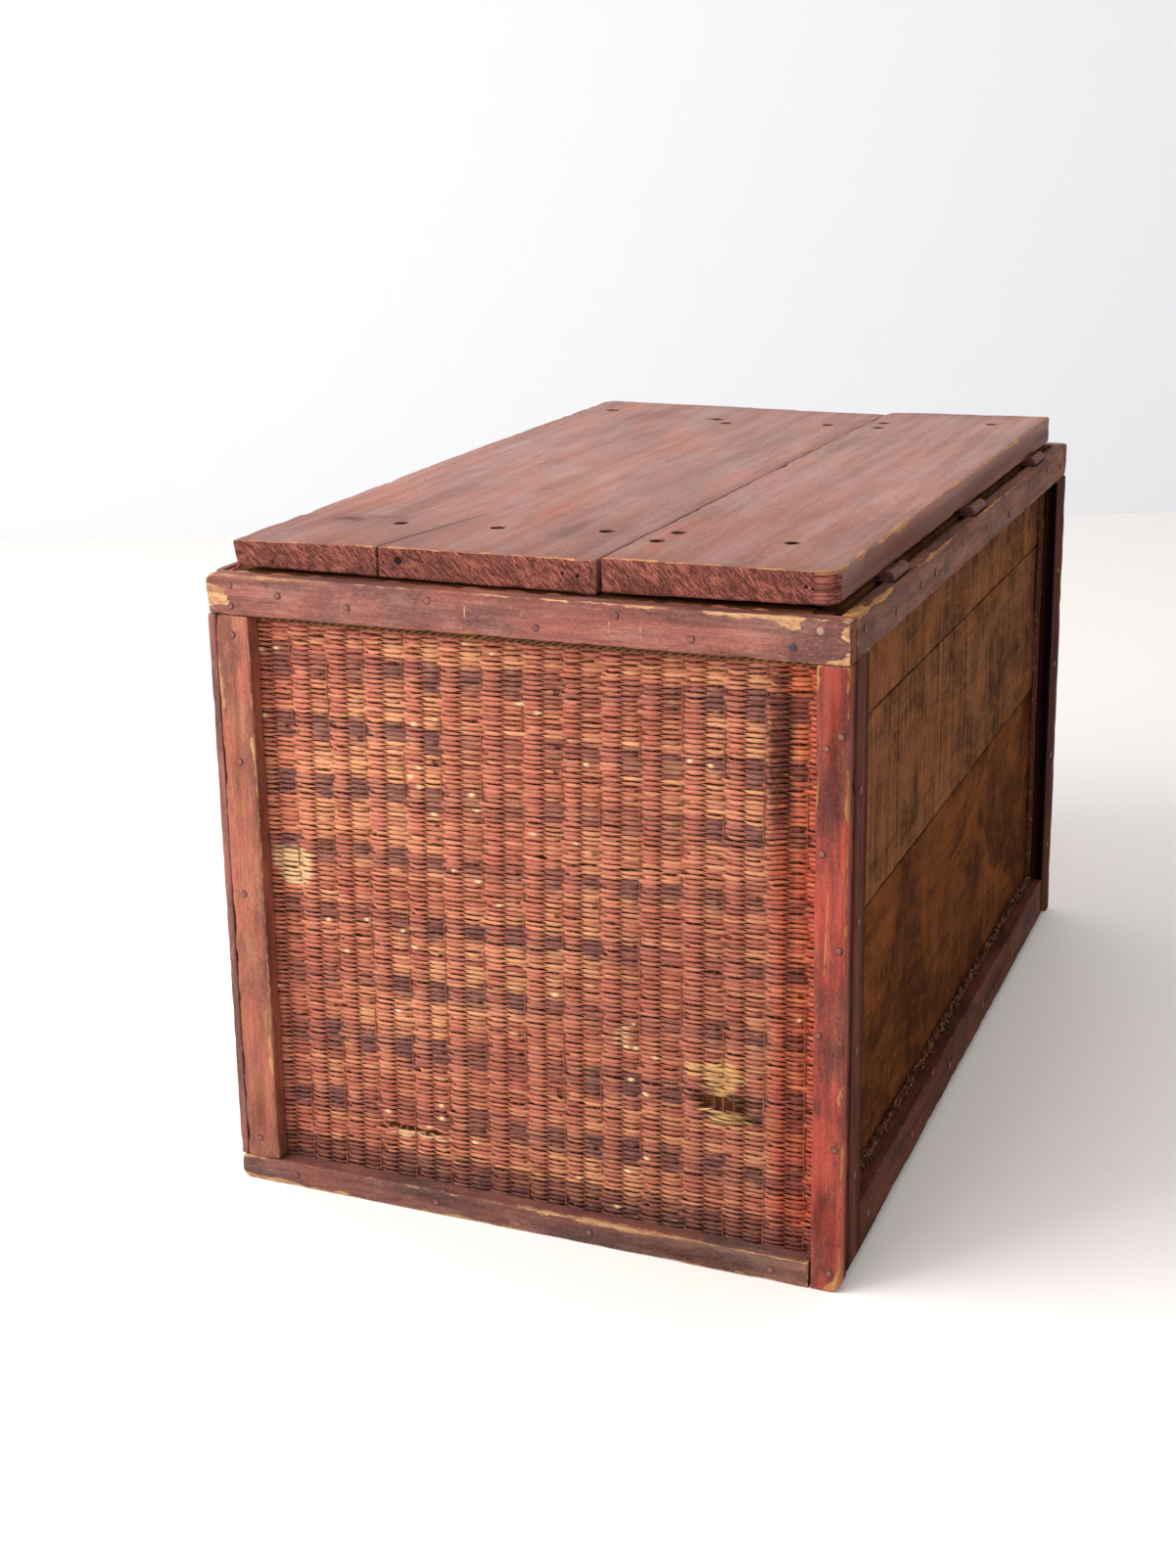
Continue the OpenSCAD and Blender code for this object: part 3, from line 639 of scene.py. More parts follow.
# %% Wall and floor boards
# Painted shade on the hinge-side boards: beside the front and rear stiles and under the top rail.
BOARD_PAINTED_SHADE = [(200, -330, 200, 12, 18, 400, 0.45), (200, 320, 200, 12, 30, 400, 0.55),
              (200, 0, 430, 6, 500, 30, 0.35)]
for wall in ("front", "rear", "left", "hinge"):
    for tier in ("lower", "middle", "upper"):
        seen = wall == "hinge"
        finish = (SAWN_GOLD if tier == "lower" else SAWN) if seen else PLAIN_BOARD
        board(f"{wall}_wall_{tier}_board", finish, BOARD_END, grain=0 if wall in ("front", "rear") else 1,
              radius=1.0, dents=1.3, pitch=5.0 if seen else 9.0, wear=0.0, uneven=0.5, slot="bare_board",
              dirt=BOARD_PAINTED_SHADE if seen else ())
for place in ("left", "middle", "hinge"):
    board(f"floor_{place}_board", PLAIN_BOARD, BOARD_END, grain=1, pitch=9.0, wear=0.0, uneven=0.5,
          slot="bare_board")
print("boards done")

# %% [markdown]
# ## The lid
#
# Two planks. Both are warped, so their top and bottom are set by small tables of heights at the front and the
# rear. The wide plank has split from its front end along the grain.

# %% Lid shapes
LID_NAILS = [(99, 86), (168, 89), (241, 98), (286, 70), (290, 98), (368, 88),
             (36, 621), (145, 597), (159, 578), (244, 598), (293, 580), (291, 607), (380, 620)]
NAIL_XY = [(a - 215, b - 350) for a, b in LID_NAILS]
SPLIT_X, SPLIT_END = -88, -211
RING = (-5.6, -4.6, -3.7, -2.8, -1.4, 0, 1.4, 2.8, 3.7, 4.6, 5.6)


def pits(p, q):
    """Sinks a small hollow over each nail; returns the points and how dark each one is."""
    top = step(p[:, 2], 450, 455)
    dark = np.zeros(len(p))
    for x, y in NAIL_XY:
        d = np.hypot(q[:, 0] - x, q[:, 1] - y)
        q[:, 2] -= 4.4 * top * step(d, 5.0, 3.2)
        dark = np.maximum(dark, top * step(d, 5.8, 4.2))
    return q, dark


def wide_shape(p, q):
    """Taper, warp, rounded rear corner, split and nail hollows of the wide plank, with painted shade in the split."""
    low_x, high_x, front, rear = -203.0, 59.0, -340.0, 327.0
    t = (p[:, 1] - front) / (rear - front)
    round_in = 12 - np.sqrt(np.clip(144 - np.clip(p[:, 1] - (rear - 12), 0, 12) ** 2, 0, None))
    left = -200.6 - 5.4 * step(t, 0.15, 0.6) + round_in + 1.2 * step(p[:, 1], front + 25, front)
    right = 53.5 + 5.5 * t
    split_at = 22.0 * np.clip((p[:, 1] - front) / 129, 0, 1.1) - 5.9
    split_at = split_at * np.clip(1 - abs(p[:, 0] - SPLIT_X) / 26, 0, 1)
    q = q.copy()
    q[:, 0] = left + (q[:, 0] - low_x) / (high_x - low_x) * (right - left) + split_at
    x = p[:, 0]
    top = (1 - t) * np.interp(x, [-203, -97, 59], [450.6, 452.8, 453.4]) + t * np.interp(
        x, [-203, -120, 0, 59], [455.4, 454.6, 453.0, 452.3])
    bottom = (1 - t) * np.interp(x, [-203, -97, 59], [433.9, 433.1, 431.6]) + t * np.interp(
        x, [-203, 0, 59], [434.4, 432.4, 431.8])
    side = step(x, -193, -203) * 2.6 * step(455 - p[:, 2], 4, 21)
    q[:, 2] = bottom + (q[:, 2] - 434) / 21 * (top - bottom)
    q[:, 0] += side
    q, dark = pits(p, q)
    off = abs(x - SPLIT_X)
    depth = step(p[:, 1], SPLIT_END, -330)
    groove = step(off, 0.95, 0.25)
    q[:, 2] -= groove * (0.4 + 5.0 * depth) * step(p[:, 2], 452, 455) * (p[:, 1] < SPLIT_END)
    q[:, 1] += groove * 6.0 * step(p[:, 1], -338, -340)
    # Painted shade in the split: darker where it is deeper, nearly black in its notch in the front end.
    dark = np.maximum(dark, groove * (p[:, 1] < SPLIT_END) * (0.25 + 0.6 * depth) * step(p[:, 2], 452, 455))
    return q, np.maximum(dark, groove * 0.9 * step(p[:, 1], -338, -340))


def narrow_shape(p, q):
    """Taper, slight warp, rounded front corner and nail hollows of the narrow plank."""
    low_x, high_x, front, rear = 57.0, 203.0, -340.0, 327.0
    t = (p[:, 1] - front) / (rear - front)
    round_in = 13 - np.sqrt(np.clip(169 - np.clip(front + 13 - p[:, 1], 0, 13) ** 2, 0, None))
    left, right = 57 + 5.5 * t, 203 - round_in
    q = q.copy()
    q[:, 0] = left + (q[:, 0] - low_x) / (high_x - low_x) * (right - left)
    x = p[:, 0]
    top = (1 - t) * np.interp(x, [57, 203], [455.2, 455.4]) + t * np.interp(x, [57, 203], [454.6, 455.6])
    bottom = (1 - t) * np.interp(x, [57, 203], [433.5, 435.2]) + t * 434.0
    q[:, 2] = bottom + (q[:, 2] - 434) / 21 * (top - bottom)
    return pits(p, q)


# %% Lid planks
def nail_lines(low, high):
    """Extra ruling lines around every nail between x = low and x = high."""
    spots = [(x, y) for x, y in NAIL_XY if low < x < high]
    return [x + r for x, _ in spots for r in RING], [y + r for _, y in spots for r in RING]


wide_x, wide_y = nail_lines(-203, 59)
narrow_x, narrow_y = nail_lines(57, 203)
LID_WEAR = [(0, -340, 455, 300, 6, 5, 2.8), (-203, 0, 455, 8, 500, 8, 3.4)]
# Stains on the lid, and two heaps of painted shade: on its side face towards the hinges and along the bottom edge of
# its front end.
LID_STAINS_AND_SHADE = [(-150, -262, 455, 26, 16, 5, 0.26), (8, -262, 455, 9, 30, 5, 0.3), (-160, -256, 455, 12, 6, 5, 0.4),
              (-140, -246, 455, 20, 4, 5, 0.3), (4, -236, 455, 5, 24, 5, 0.3), (-20, -200, 455, 14, 40, 5, 0.14),
              (-128, 250, 455, 34, 34, 5, 0.22), (0, 320, 455, 300, 14, 5, 0.15), (54, 0, 455, 3, 400, 5, 0.3),
              (203, 0, 443, 5, 700, 12, 0.6), (0, -330, 455, 300, 16, 5, 0.12), (0, -340, 433, 500, 5, 6, 0.45),
              (-60, 250, 455, 20, 20, 5, 0.15)]
LID = dict(grain=1, radius=2.2, dents=1.2, pitch=5.0, dirt=LID_STAINS_AND_SHADE, slot="lid_paint")
board("lid_wide_board", LID_PAINT, LID_END, wear=0.9, bare=LID_WEAR, shape=wide_shape, **LID,
      extra=(wide_x + [SPLIT_X + d for d in (-1.6, -1.0, -0.5, 0, 0.5, 1.0, 1.6)],
             wide_y + [327 - 12 * math.sin(a) for a in np.linspace(0.1, 1.5, 7)], ()))
plank = board("lid_narrow_board", LID_PAINT, LID_END, wear=1.0, shape=narrow_shape, **LID,
              bare=LID_WEAR + [(203, -150, 455, 8, 360, 6, 3.4), (200, -330, 456, 12, 14, 3, 2.5)],
              extra=(narrow_x, narrow_y + [-340 + 13 * math.sin(a) for a in np.linspace(0.1, 1.5, 8)], ()))
middles = np.zeros(len(plank.data.polygons) * 3, np.float32)
plank.data.polygons.foreach_get("center", middles)
middles = middles.reshape(-1, 3) / MM
index = np.zeros(len(middles), np.int32)
plank.data.polygons.foreach_get("material_index", index)
index[(middles[:, 0] > 185) & (middles[:, 1] < -327.5) & (middles[:, 2] < 453)] = 1
plank.data.polygons.foreach_set("material_index", index)
for batten in ("lid_front_batten", "lid_rear_batten"):
    board(batten, PLAIN_BOARD, BOARD_END, wear=0.0, radius=1.6, slot="lid_paint")
print("lid done")

# %% [markdown]
# ## Woven matting
#
# Round reeds (wefts) run across upright stakes, over one and under the next, and each row does the opposite
# of the row below. So rows of one kind show over every second stake, and rows of the other kind show between.
# The weaver dyed only every second row in bands, which is why the dark and tan bars come and go along a row.
#
# One array holds every reed: row number, place along the row, and place round the reed. A reed's centre line
# swings in and out as a flattened cosine of the stake count. It swells over a stake and is pinched where it
# passes between two stakes.

# %% Reed material
def reed_material():
    """Fine fibres and lighter scuffs over the dye that each reed carries."""
    g = Graph("Dyed reed")
    g.grain = g.attribute("grain", "Vector")
    fibre = g.figure((160, 1500, 1500), 4.0, 0.6)
    patchy = g.figure((90, 300, 300), 3.0, 0.6)
    dye = g.attribute("dye", "Color")
    colour = g.mix(g.between(fibre, 0.3, 0.75, 0.0, 0.4), dye, tint(70, 30, 20))
    colour = g.coats(colour, (patchy, 0.5, 0.8, 0.35, tint(206, 150, 98)))
    return g.finish(colour, 0.72, fibre, 0.0003, 0.6, 0.22)


REED = reed_material()

# %% Dye colours
RED = np.array(tint(170, 93, 74))
ROSE = np.array(tint(182, 106, 86))
TAN = np.array(tint(181, 125, 89))
PLUM = np.array(tint(98, 60, 58))
STRAW = np.array(tint(232, 196, 146))
HONEY = np.array(tint(214, 168, 108))
CLAY, BARK, WEED = (np.array(tint(*v)) for v in ((146, 80, 58), (92, 52, 36), (112, 74, 42)))
BAND_MIDDLES = np.array([373, 332, 291, 246, 202, 156, 112, 63, 20.0])
BAND_HALVES = np.array([7.0, 6.0, 7.0, 6.5, 6.5, 7.0, 8.0, 8.0, 6.0])


def dye_of(row, z_row, u, stake, length, seed):
    """Colour (..., 3) of each point: the row's parity and band first, then slow drifts along the wall, then each
    row's and each single float's own tone, and a painted shade, darker towards the end of the wall and its bottom."""
    spot = np.stack(np.broadcast_arrays(u, z_row, 0 * u), -1)
    drift, drift2 = hills(spot, 60.0, seed), hills(spot, 22.0, seed + 1)
    r = np.random.default_rng(seed + 2)
    own = r.normal(size=int(row.max()) + 1)[row]
    float_own = r.normal(size=(int(row.max()) + 1, int(stake.max()) + 1))[row, stake]
    edge = 2.5 * drift2 + 1.6 * own
    band = np.zeros(np.broadcast(row, u).shape)
    for middle, half in zip(BAND_MIDDLES, BAND_HALVES):
        band = np.maximum(band, step(abs(z_row - middle) - half + edge, 3.0, -2.0))
    odd = (row % 2 == 1).astype(float)
    height = step(z_row, 30, 330)
    tan_share = np.clip(0.25 + 0.4 * height + 0.35 * drift + 0.25 * own + 0.15 * float_own, 0, 1)
    tan_share = tan_share * step(u, 18, 70)
    ground = RED + (TAN - RED) * tan_share[..., None]
    plain = RED + (ROSE - RED) * np.clip(0.5 + 0.5 * drift2, 0, 1)[..., None]
    plain_share = np.clip(0.1 + 0.25 * own + 0.2 * drift + 0.15 * float_own, 0, 0.6)
    plain = plain + (TAN - plain) * plain_share[..., None]
    colour = plain + (ground - plain) * odd[..., None]
    band = band * (odd * 0.92 + (1 - odd) * 0.34) * np.clip(0.85 + 0.4 * drift, 0, 1)
    colour = colour + (PLUM - colour) * band[..., None]
    hot = step(u, length - 40, length - 26)[..., None]
    colour = colour + (colour * [1.08, 0.66, 0.56] - colour) * hot
    # Painted shade: darker along the wall towards its end (the hinge end of the front) and towards its bottom.
    light_fade = 1.22 - 0.165 * step(u, 60, length) - 0.2 * step(z_row, 320, 40)
    return colour * (light_fade * np.clip(1.0 + 0.07 * own + 0.07 * drift + 0.09 * float_own, 0.5, 1.5))[..., None]


# %% Matting builder
REED_PITCH = 1.62
STAKE_PITCH = 13.1
SIDES_OF_REED = 5
SWAY = ([0, 210, 430], [-1.5, 0.0, 4.0])


def matting(length, seed, slits=(), bulge=None, hole=None, marks=(), fleck_heaps=()):
    """A woven wall of the given length, as an array of rings in (u, n, z): along the wall, out of it and up. slits are
    (u0, u1, z, opening), marks are ovals of another colour (u0, u1, z0, z1, colour, share): stains, bare straw
    and painted shade, and fleck_heaps are places (u, z, su, sz) where many short ends of reed are broken to straw."""
    low_z, high_z = 9.2, 429.0
    r = np.random.default_rng(seed)
    rows = int((high_z - low_z) / REED_PITCH)
    z_row = low_z + REED_PITCH * (np.arange(rows) + 0.5) + r.normal(0, 0.16, rows)
    stakes = int(length / STAKE_PITCH)
    s = np.concatenate([[-0.45, -0.45], np.arange(0, (stakes - 1) * 4 + 1) / 4, [stakes - 0.55, stakes - 0.55]])
    pitch = length / stakes
    sway = np.interp(z_row, *SWAY)
    u = (s[None, :] + 0.5) * pitch
    jog = hills(np.stack([u, 0 * u, 0 * u], -1), 40.0, seed + 5) * 1.1
    u = u + jog + sway[:, None] * np.sin(np.pi * np.clip(u / length, 0, 1))
    row = np.arange(rows)[:, None] + np.zeros_like(u, int)
    loose = np.cos(np.pi * (s - 0.5)) ** 2 * (np.floor(s) % 2 == 0)
    u = u + r.normal(0, 1.9, (rows, stakes + 1))[row, np.clip(np.floor(s), 0, stakes).astype(int)] * loose
    swing = np.cos(np.pi * s)[None, :] * np.where(row % 2 == 1, 1.0, -1.0)
    swing = np.tanh(1.9 * swing) / np.tanh(1.9)
    here = np.stack([u, z_row[:, None] + 0 * u, 0 * u], -1)
    billow = 0.5 * (0.5 + 0.5 * hills(here, 110.0, seed + 6))
    n = 1.72 * swing + billow
    z = z_row[:, None] - 3.5 * np.sin(np.pi * np.clip(u / length, 0, 1)) * step(z_row, 60, 380)[:, None] * step(
        z_row, 428, 395)[:, None] + 0.22 * hills(here * [1, 6, 1], 30.0, seed + 7)
    for u0, u1, at, opening in slits:
        inside = step(u, u0 - 6, u0 + 4) * step(u, u1 + 6, u1 - 4)
        side = np.sign(z - at)
        z = z + side * inside * opening * np.exp(-abs(z - at) / 3.0)
    if bulge is not None:
        n = n + bulge(u, z)
    strong = np.cos(np.pi * (s - 1.5)) ** 2 * (np.floor(s) % 2 == 1)
    pinch = 0.9 - 0.42 * strong + 0.34 * loose
    tall = pinch + (1.5 - pinch) * abs(np.cos(np.pi * s))
    stake = np.clip(np.round(s), 0, stakes - 1).astype(int)[None, :] + np.zeros_like(row)
    over = np.cos(np.pi * s)[None, :] ** 2
    z = z + r.normal(0, 0.3, (rows, stakes))[row, stake] * over
    n = n + r.normal(0, 0.16, (rows, stakes))[row, stake] * over
    swell = 1 + r.normal(0, 0.09, (rows, 1)) + r.normal(0, 0.09, (rows, stakes))[row, stake]
    tall = tall * np.clip(swell, 0.7, 1.25)
    thick = 0.68 + 0.05 * abs(swing)
    end = np.ones(len(s))
    end[[0, -1]] = 0.02
    whole = np.ones_like(u)
    if hole is not None:
        whole = hole(u, z, r.uniform(-1, 1, (rows, 1)))
    colour = dye_of(row, z_row[:, None] + 0 * u, u, stake, length, seed + 8)
    for u0, u1, z0, z1, shade, share in marks:
        rag = 0.3 * hills(here, 9.0, seed + 9) + 0.25 * r.normal(size=(rows, stakes))[row, stake]
        oval = abs((u - (u0 + u1) / 2) / (u1 - u0) * 2) ** 3 + abs((z - (z0 + z1) / 2) / (z1 - z0) * 2) ** 3
        inside = step(oval + rag, 1.25, 0.6) * share
        colour = colour + (np.array(shade) - colour) * inside[..., None]
    heap = sum(np.exp(-((u - fu) / su) ** 2 - ((z - fz) / sz) ** 2) for fu, fz, su, sz in fleck_heaps)
    flecks = r.uniform(size=u.shape) < 0.0022 + 0.05 * heap
    colour = np.where((flecks & (abs(swing) > 0.5))[..., None], STRAW, colour)
    angle = 2 * np.pi * np.arange(SIDES_OF_REED) / SIDES_OF_REED + 0.3
    size = (end[None, :] * np.clip(whole, 0.02, 1))[..., None]
    dn = np.cos(angle) * thick[..., None] * size
    dz = np.sin(angle) * tall[..., None] * size
    local = np.stack([np.broadcast_to(u[..., None], dn.shape), n[..., None] + dn, z[..., None] + dz], -1)
    return local, colour, whole


def tube_quads(rows, samples, sides, keep=None):
    """Quads between neighbouring rings of every tube, as indices into (rows, samples, sides)."""
    i, j, k = np.meshgrid(np.arange(rows), np.arange(samples - 1), np.arange(sides), indexing="ij")
    if keep is not None:
        chosen = keep[:, :-1] | keep[:, 1:]
        chosen = np.repeat(chosen[:, :, None], sides, 2)
        i, j, k = i[chosen], j[chosen], k[chosen]
    at = lambda jj, kk: (i * samples + jj) * sides + kk % sides
    return np.stack([at(j, k), at(j, k + 1), at(j + 1, k + 1), at(j + 1, k)], -1).reshape(-1, 4)


def place(local, origin, along, out):
    """Matting coordinates (u, n, z) to crate coordinates."""
    up = np.array([0, 0, 1.0])
    return np.array(origin) + local[..., :1] * along + local[..., 1:2] * out + local[..., 2:3] * up


def compact(points, quads, *arrays):
    """Drops the points that no quad uses."""
    used, inverse = np.unique(quads, return_inverse=True)
    return (points[used], inverse.reshape(-1, 4), *[a[used] for a in arrays])


def weave_wall(node, origin, along, out, length, seed, pieces, **options):
    local, colour, whole = matting(length, seed, **options)
    rows, samples, sides = local.shape[:3]
    points = place(local, origin, along, out)
    flip = np.dot(np.cross(along, [0, 0, 1.0]), out) > 0
    for part, chosen in enumerate(np.array_split(np.arange(rows), pieces)):
        block = points[chosen]
        quads = tube_quads(len(chosen), samples, sides, whole[chosen] > 0.03)
        if flip:
            quads = quads[:, ::-1]
        shades = np.repeat(colour[chosen][:, :, None, :], sides, 2)
        shades = np.concatenate([shades, np.ones_like(shades[..., :1])], -1).reshape(-1, 4)
        u, n, z = np.moveaxis(local[chosen], -1, 0)
        grain = np.stack([u + 3.7 * chosen[:, None, None], z, n], -1).reshape(-1, 3) * MM
        flat, quads, shades, grain = compact(block.reshape(-1, 3), quads, shades, grain)
        obj = mesh_piece(f"{node}_reeds_{part + 1}", flat, quads, [REED], True, None, dye=shades, grain=grain)
        stand_in(obj, node, "wicker")


# %% The three woven mattings
MIDDLE = 204.5


def front_bulge(u, z):
    """A sharp fold near the hinge-side end of the front wall."""
    x = u - MIDDLE
    rise = step(x, 120, 163) * step(x, 171, 163.5)
    return 4.2 * rise * step(z, 235, 275) * step(z, 392, 350) + 0.8 * step(x, 120, 160) * step(x, 190, 165)


def front_hole(u, z, own):
    """1 where the reeds are whole, falling to 0 in the torn place."""
    x = u - MIDDLE
    inside = step(abs(x - 134 + 5 * own), 15, 11) * step(abs(z - 109 + 1.0 * own), 5.6, 4.2)
    return 1 - inside


def from_middle(rows, count):
    """Rows of numbers whose first count values are measured from the middle of the front matting."""
    return [tuple(MIDDLE + v for v in row[:count]) + row[count:] for row in rows]


FRONT_SLITS = from_middle([(-107, -67, 52.0, 2.3), (11, 71, 257.0, 0.9), (56, 116, 114.0, 0.9),
                           (11, 59, 92.5, 0.8), (-153, -118, 186.0, 0.7)], 2)
# Front marks: painted shade in the torn hole, straw round and below it, a bare patch, the edge of a slit, painted
# shade right of the fold, a dark strip the full height before the last column, a straw spot and a dark band along the
# bottom.
FRONT_MARKS = from_middle([
    (112, 156, 96, 116, tint(60, 34, 22), 0.85), (121, 146, 115, 138, HONEY * 0.92, 0.8),
    (107, 123, 126, 136, HONEY, 0.6), (120, 154, 96, 103, HONEY * 0.55, 0.6),
    (-182, -155, 217, 246, STRAW, 0.8), (-105, -62, 46, 50, STRAW * 0.9, 0.6), (163, 176, 296, 396, PLUM * 0.25, 0.75),
    (174, 179, 20, 400, PLUM * 0.3, 0.5), (60, 70, 138, 152, STRAW, 0.4),
    (-264.5, 259.5, 6, 36, PLUM * 0.55, 0.6)], 2)
FRONT_FLECKS = from_middle([(-66, 345, 14, 24), (-96, 178, 16, 14), (76, 144, 10, 12), (-143, 208, 12, 10),
                            (-70, 60, 30, 12), (-192, 380, 8, 20), (118, 340, 8, 12)], 1)
FRONT = ((-204.5, -334.5, 0), np.array([1.0, 0, 0]), np.array([0, -1.0, 0]))
# Each wall: the CAD node, its first corner with the directions along and out of it, its length and its seed.
WALLS = [("front_matting", *FRONT, 404.5, 11),
         ("rear_matting", (200, 334.5, 0), np.array([-1.0, 0, 0]), np.array([0, 1.0, 0]), 404.5, 31),
         ("left_matting", (-207, 337, 0), np.array([0, -1.0, 0]), np.array([-1.0, 0, 0]), 674, 51)]
weave_wall(*WALLS[0], 2, slits=FRONT_SLITS, bulge=front_bulge, hole=front_hole, marks=FRONT_MARKS,
           fleck_heaps=FRONT_FLECKS)
weave_wall(*WALLS[1], 2)
weave_wall(*WALLS[2], 3)

# %% [markdown]
# ## Stakes, border and frayed ends
#
# Tubes along a path: the path's points are an array, and a ring of points is laid round each of them.


# %% Tubes along paths
def tubes(name, paths, radius, sides, node, colour):
    """Closed reed tubes along paths (count, samples, 3) in millimetres. radius is (count, samples)."""
    paths = np.concatenate([paths[:, :1], paths, paths[:, -1:]], 1)
    radius = np.concatenate([0.03 * radius[:, :1], radius, 0.03 * radius[:, -1:]], 1)
    tangent = np.gradient(paths, axis=1)
    tangent[:, 0], tangent[:, -1] = tangent[:, 1], tangent[:, -2]
    tangent /= np.linalg.norm(tangent, axis=2, keepdims=True) + 1e-9
    side = np.cross(tangent, [0.31, 0.23, 0.92])
    weak = np.linalg.norm(side, axis=2, keepdims=True) < 0.35
    side = np.where(weak, np.cross(tangent, [0.93, -0.21, 0.3]), side)
    side /= np.linalg.norm(side, axis=2, keepdims=True) + 1e-9
    other = np.cross(tangent, side)
    angle = 2 * np.pi * np.arange(sides) / sides
    ring = (np.cos(angle)[:, None] * side[:, :, None, :] + np.sin(angle)[:, None] * other[:, :, None, :])
    points = paths[:, :, None, :] + radius[:, :, None, None] * ring
    count, samples = paths.shape[:2]
    quads = tube_quads(count, samples, sides)
    along = np.cumsum(np.linalg.norm(np.gradient(paths, axis=1), axis=2), 1)[:, :, None] + 11.0 * np.arange(
        count)[:, None, None]
    grain = np.stack(np.broadcast_arrays(along, np.cos(angle)[None, None], np.sin(angle)[None, None]), -1) * MM
    shade = np.broadcast_to(np.asarray(colour, float)[..., None, None, :] if np.ndim(colour) == 2 else colour,
                            points.shape)
    shade = np.concatenate([shade, np.ones_like(shade[..., :1])], -1)
    obj = mesh_piece(name, points.reshape(-1, 3), quads, [REED], True, None, dye=shade.reshape(-1, 4),
                     grain=grain.reshape(-1, 3))
    stand_in(obj, node, "wicker")


# %% Stakes and thin strands
def upright_paths(us, lean, n, origin, along, out, seed, n_of):
    """Paths up the wall at the places us, n out of it, that lean and bulge as the matting does."""
    z = np.linspace(9.5, 428, 60)
    u = us[:, None] + lean * np.interp(z, *SWAY)[None, :]
    u = u + hills(np.stack([u, 0 * u, 0 * u], -1), 40.0, seed + 5) * 1.1
    depth = n + 0 * u if n_of is None else n + n_of(u, z[None, :] + 0 * u)
    local = np.stack(np.broadcast_arrays(u, depth, z[None, :]), -1)
    return place(local, origin, along, out)


for node, origin, along, out, length, seed in WALLS:
    n_of = front_bulge if node == "front_matting" else None
    stakes = int(length / STAKE_PITCH)
    us = (np.arange(stakes) + 0.5) * length / stakes
    lean = np.sin(np.pi * us / length)[:, None]
    paths = upright_paths(us, lean, 0.3, origin, along, out, seed, n_of)
    tubes(node + "_stakes", paths, np.full(paths.shape[:2], 1.0), 5, node, BARK)
    us = (np.arange(1, stakes, 2) - 0.06) * length / stakes
    lean = np.sin(np.pi * us / length)[:, None]
    paths = upright_paths(us, lean, 0.9, origin, along, out, seed, n_of)
    paths = paths + 0.75 * hills(paths, 26.0, seed + 3)[..., None] * out
    tubes(node + "_strands", paths, np.full(paths.shape[:2], 0.42), 4, node, CLAY)

# %% Twisted border under the top rail
turn = np.linspace(0, 404, 240)
border = []
for phase in (0, np.pi):
    local = np.stack([turn, 2.9 + 0.9 * np.cos(turn / 1.9 + phase), 400.2 + 1.3 * np.sin(turn / 1.9 + phase)
                      - 1.6 * np.sin(np.pi * turn / 404)], -1)
    border.append(place(local, *FRONT))
border = np.array(border)
tubes("front_matting_border", border, np.full(border.shape[:2], 1.0), 5, "front_matting", WEED)

# %% Torn straws over the hole
r = np.random.default_rng(41)
count = 20
t = np.linspace(0, 1, 8)[None, :]
u = MIDDLE + r.uniform(112, 132, (count, 1)) + r.uniform(8, 20, (count, 1)) * t
z = r.choice([100, 102, 118, 123, 128], (count, 1)) + r.normal(0, 2.2, (count, 1))
z = z + r.normal(0, 2.4, (count, 1)) * t
n = 2.0 + r.uniform(0, 1.6, (count, 1)) * np.sin(np.pi * t) + 0.1 * t
straws = place(np.stack([u, n, z], -1), *FRONT)
thickness = r.uniform(0.35, 0.95, (count, 1)) * np.sin(np.pi * np.clip(t, 0.06, 0.94))
tubes("front_matting_torn_straws", straws, thickness, 5, "front_matting",
      HONEY * r.uniform(0.3, 1.0, (count, 1)))

# %% Frayed ends on the hinge side
r = np.random.default_rng(77)
count = 520
start_y = r.uniform(-305, 305, count)
near = step(start_y, -240, -305)
rise = r.uniform(1.0, 5.0, count) * (1 + 1.4 * near)
t = np.linspace(0, 1, 7)[None, :]
x = 202.6 + r.uniform(-1.6, 1.8, count)[:, None] + (r.uniform(-0.8, 3.5, count)[:, None]) * t
y = start_y[:, None] + r.normal(0, 3.2, count)[:, None] * t + r.normal(0, 1.6, count)[:, None] * np.sin(3 * t)
z = 41.5 + rise[:, None] * np.sin(t * r.uniform(1.2, 3.1, count)[:, None])
frays = np.stack([x, y, z], -1)
fray_colour = np.array(tint(134, 92, 56)) * r.uniform(0.05, 1.1, (count, 1)) ** 1.3
tubes("hinge_matting_frays", frays, r.uniform(0.3, 0.8, (count, 1)) + 0 * t, 4, "hinge_matting_remains",
      fray_colour)
STRIPS = {"bottom": ((-307, 307), (8.2, 43)), "top": ((-307, 307), (403, 426)),
          "front": ((-336.8, -308), (8.2, 426)), "rear": ((308, 336.8), (8.2, 426))}
for label, (y_span, z_span) in STRIPS.items():
    p, quads, _ = block_shell(*[stops(*span, 0.6, 12.0) for span in ((200.2, 204.8), y_span, z_span)])
    p[:, 0] = np.clip(p[:, 0] + 0.5 * hills(p, 9.0, 5), 200.1, 204.9)
    obj = mesh_piece(f"hinge_matting_strip_{label}", p, quads, [REED], True, None,
                     dye=np.tile([*(0.25 * RED), 1.0], (len(p), 1)), grain=p[:, [1, 2, 0]] * MM)
    stand_in(obj, "hinge_matting_remains", "wicker")

# %% [markdown]
# ## Iron
#
# The hinges, the screws and the nails of the sides stay as the CAD made them and only take a finish: dark
# iron that was painted over with the wood. The nails of both ends and of the lid are seen closely, so they
# get new heads. Every new head is one profile turned about the nail's axis, as an array, which is quicker
# than a modifier each.


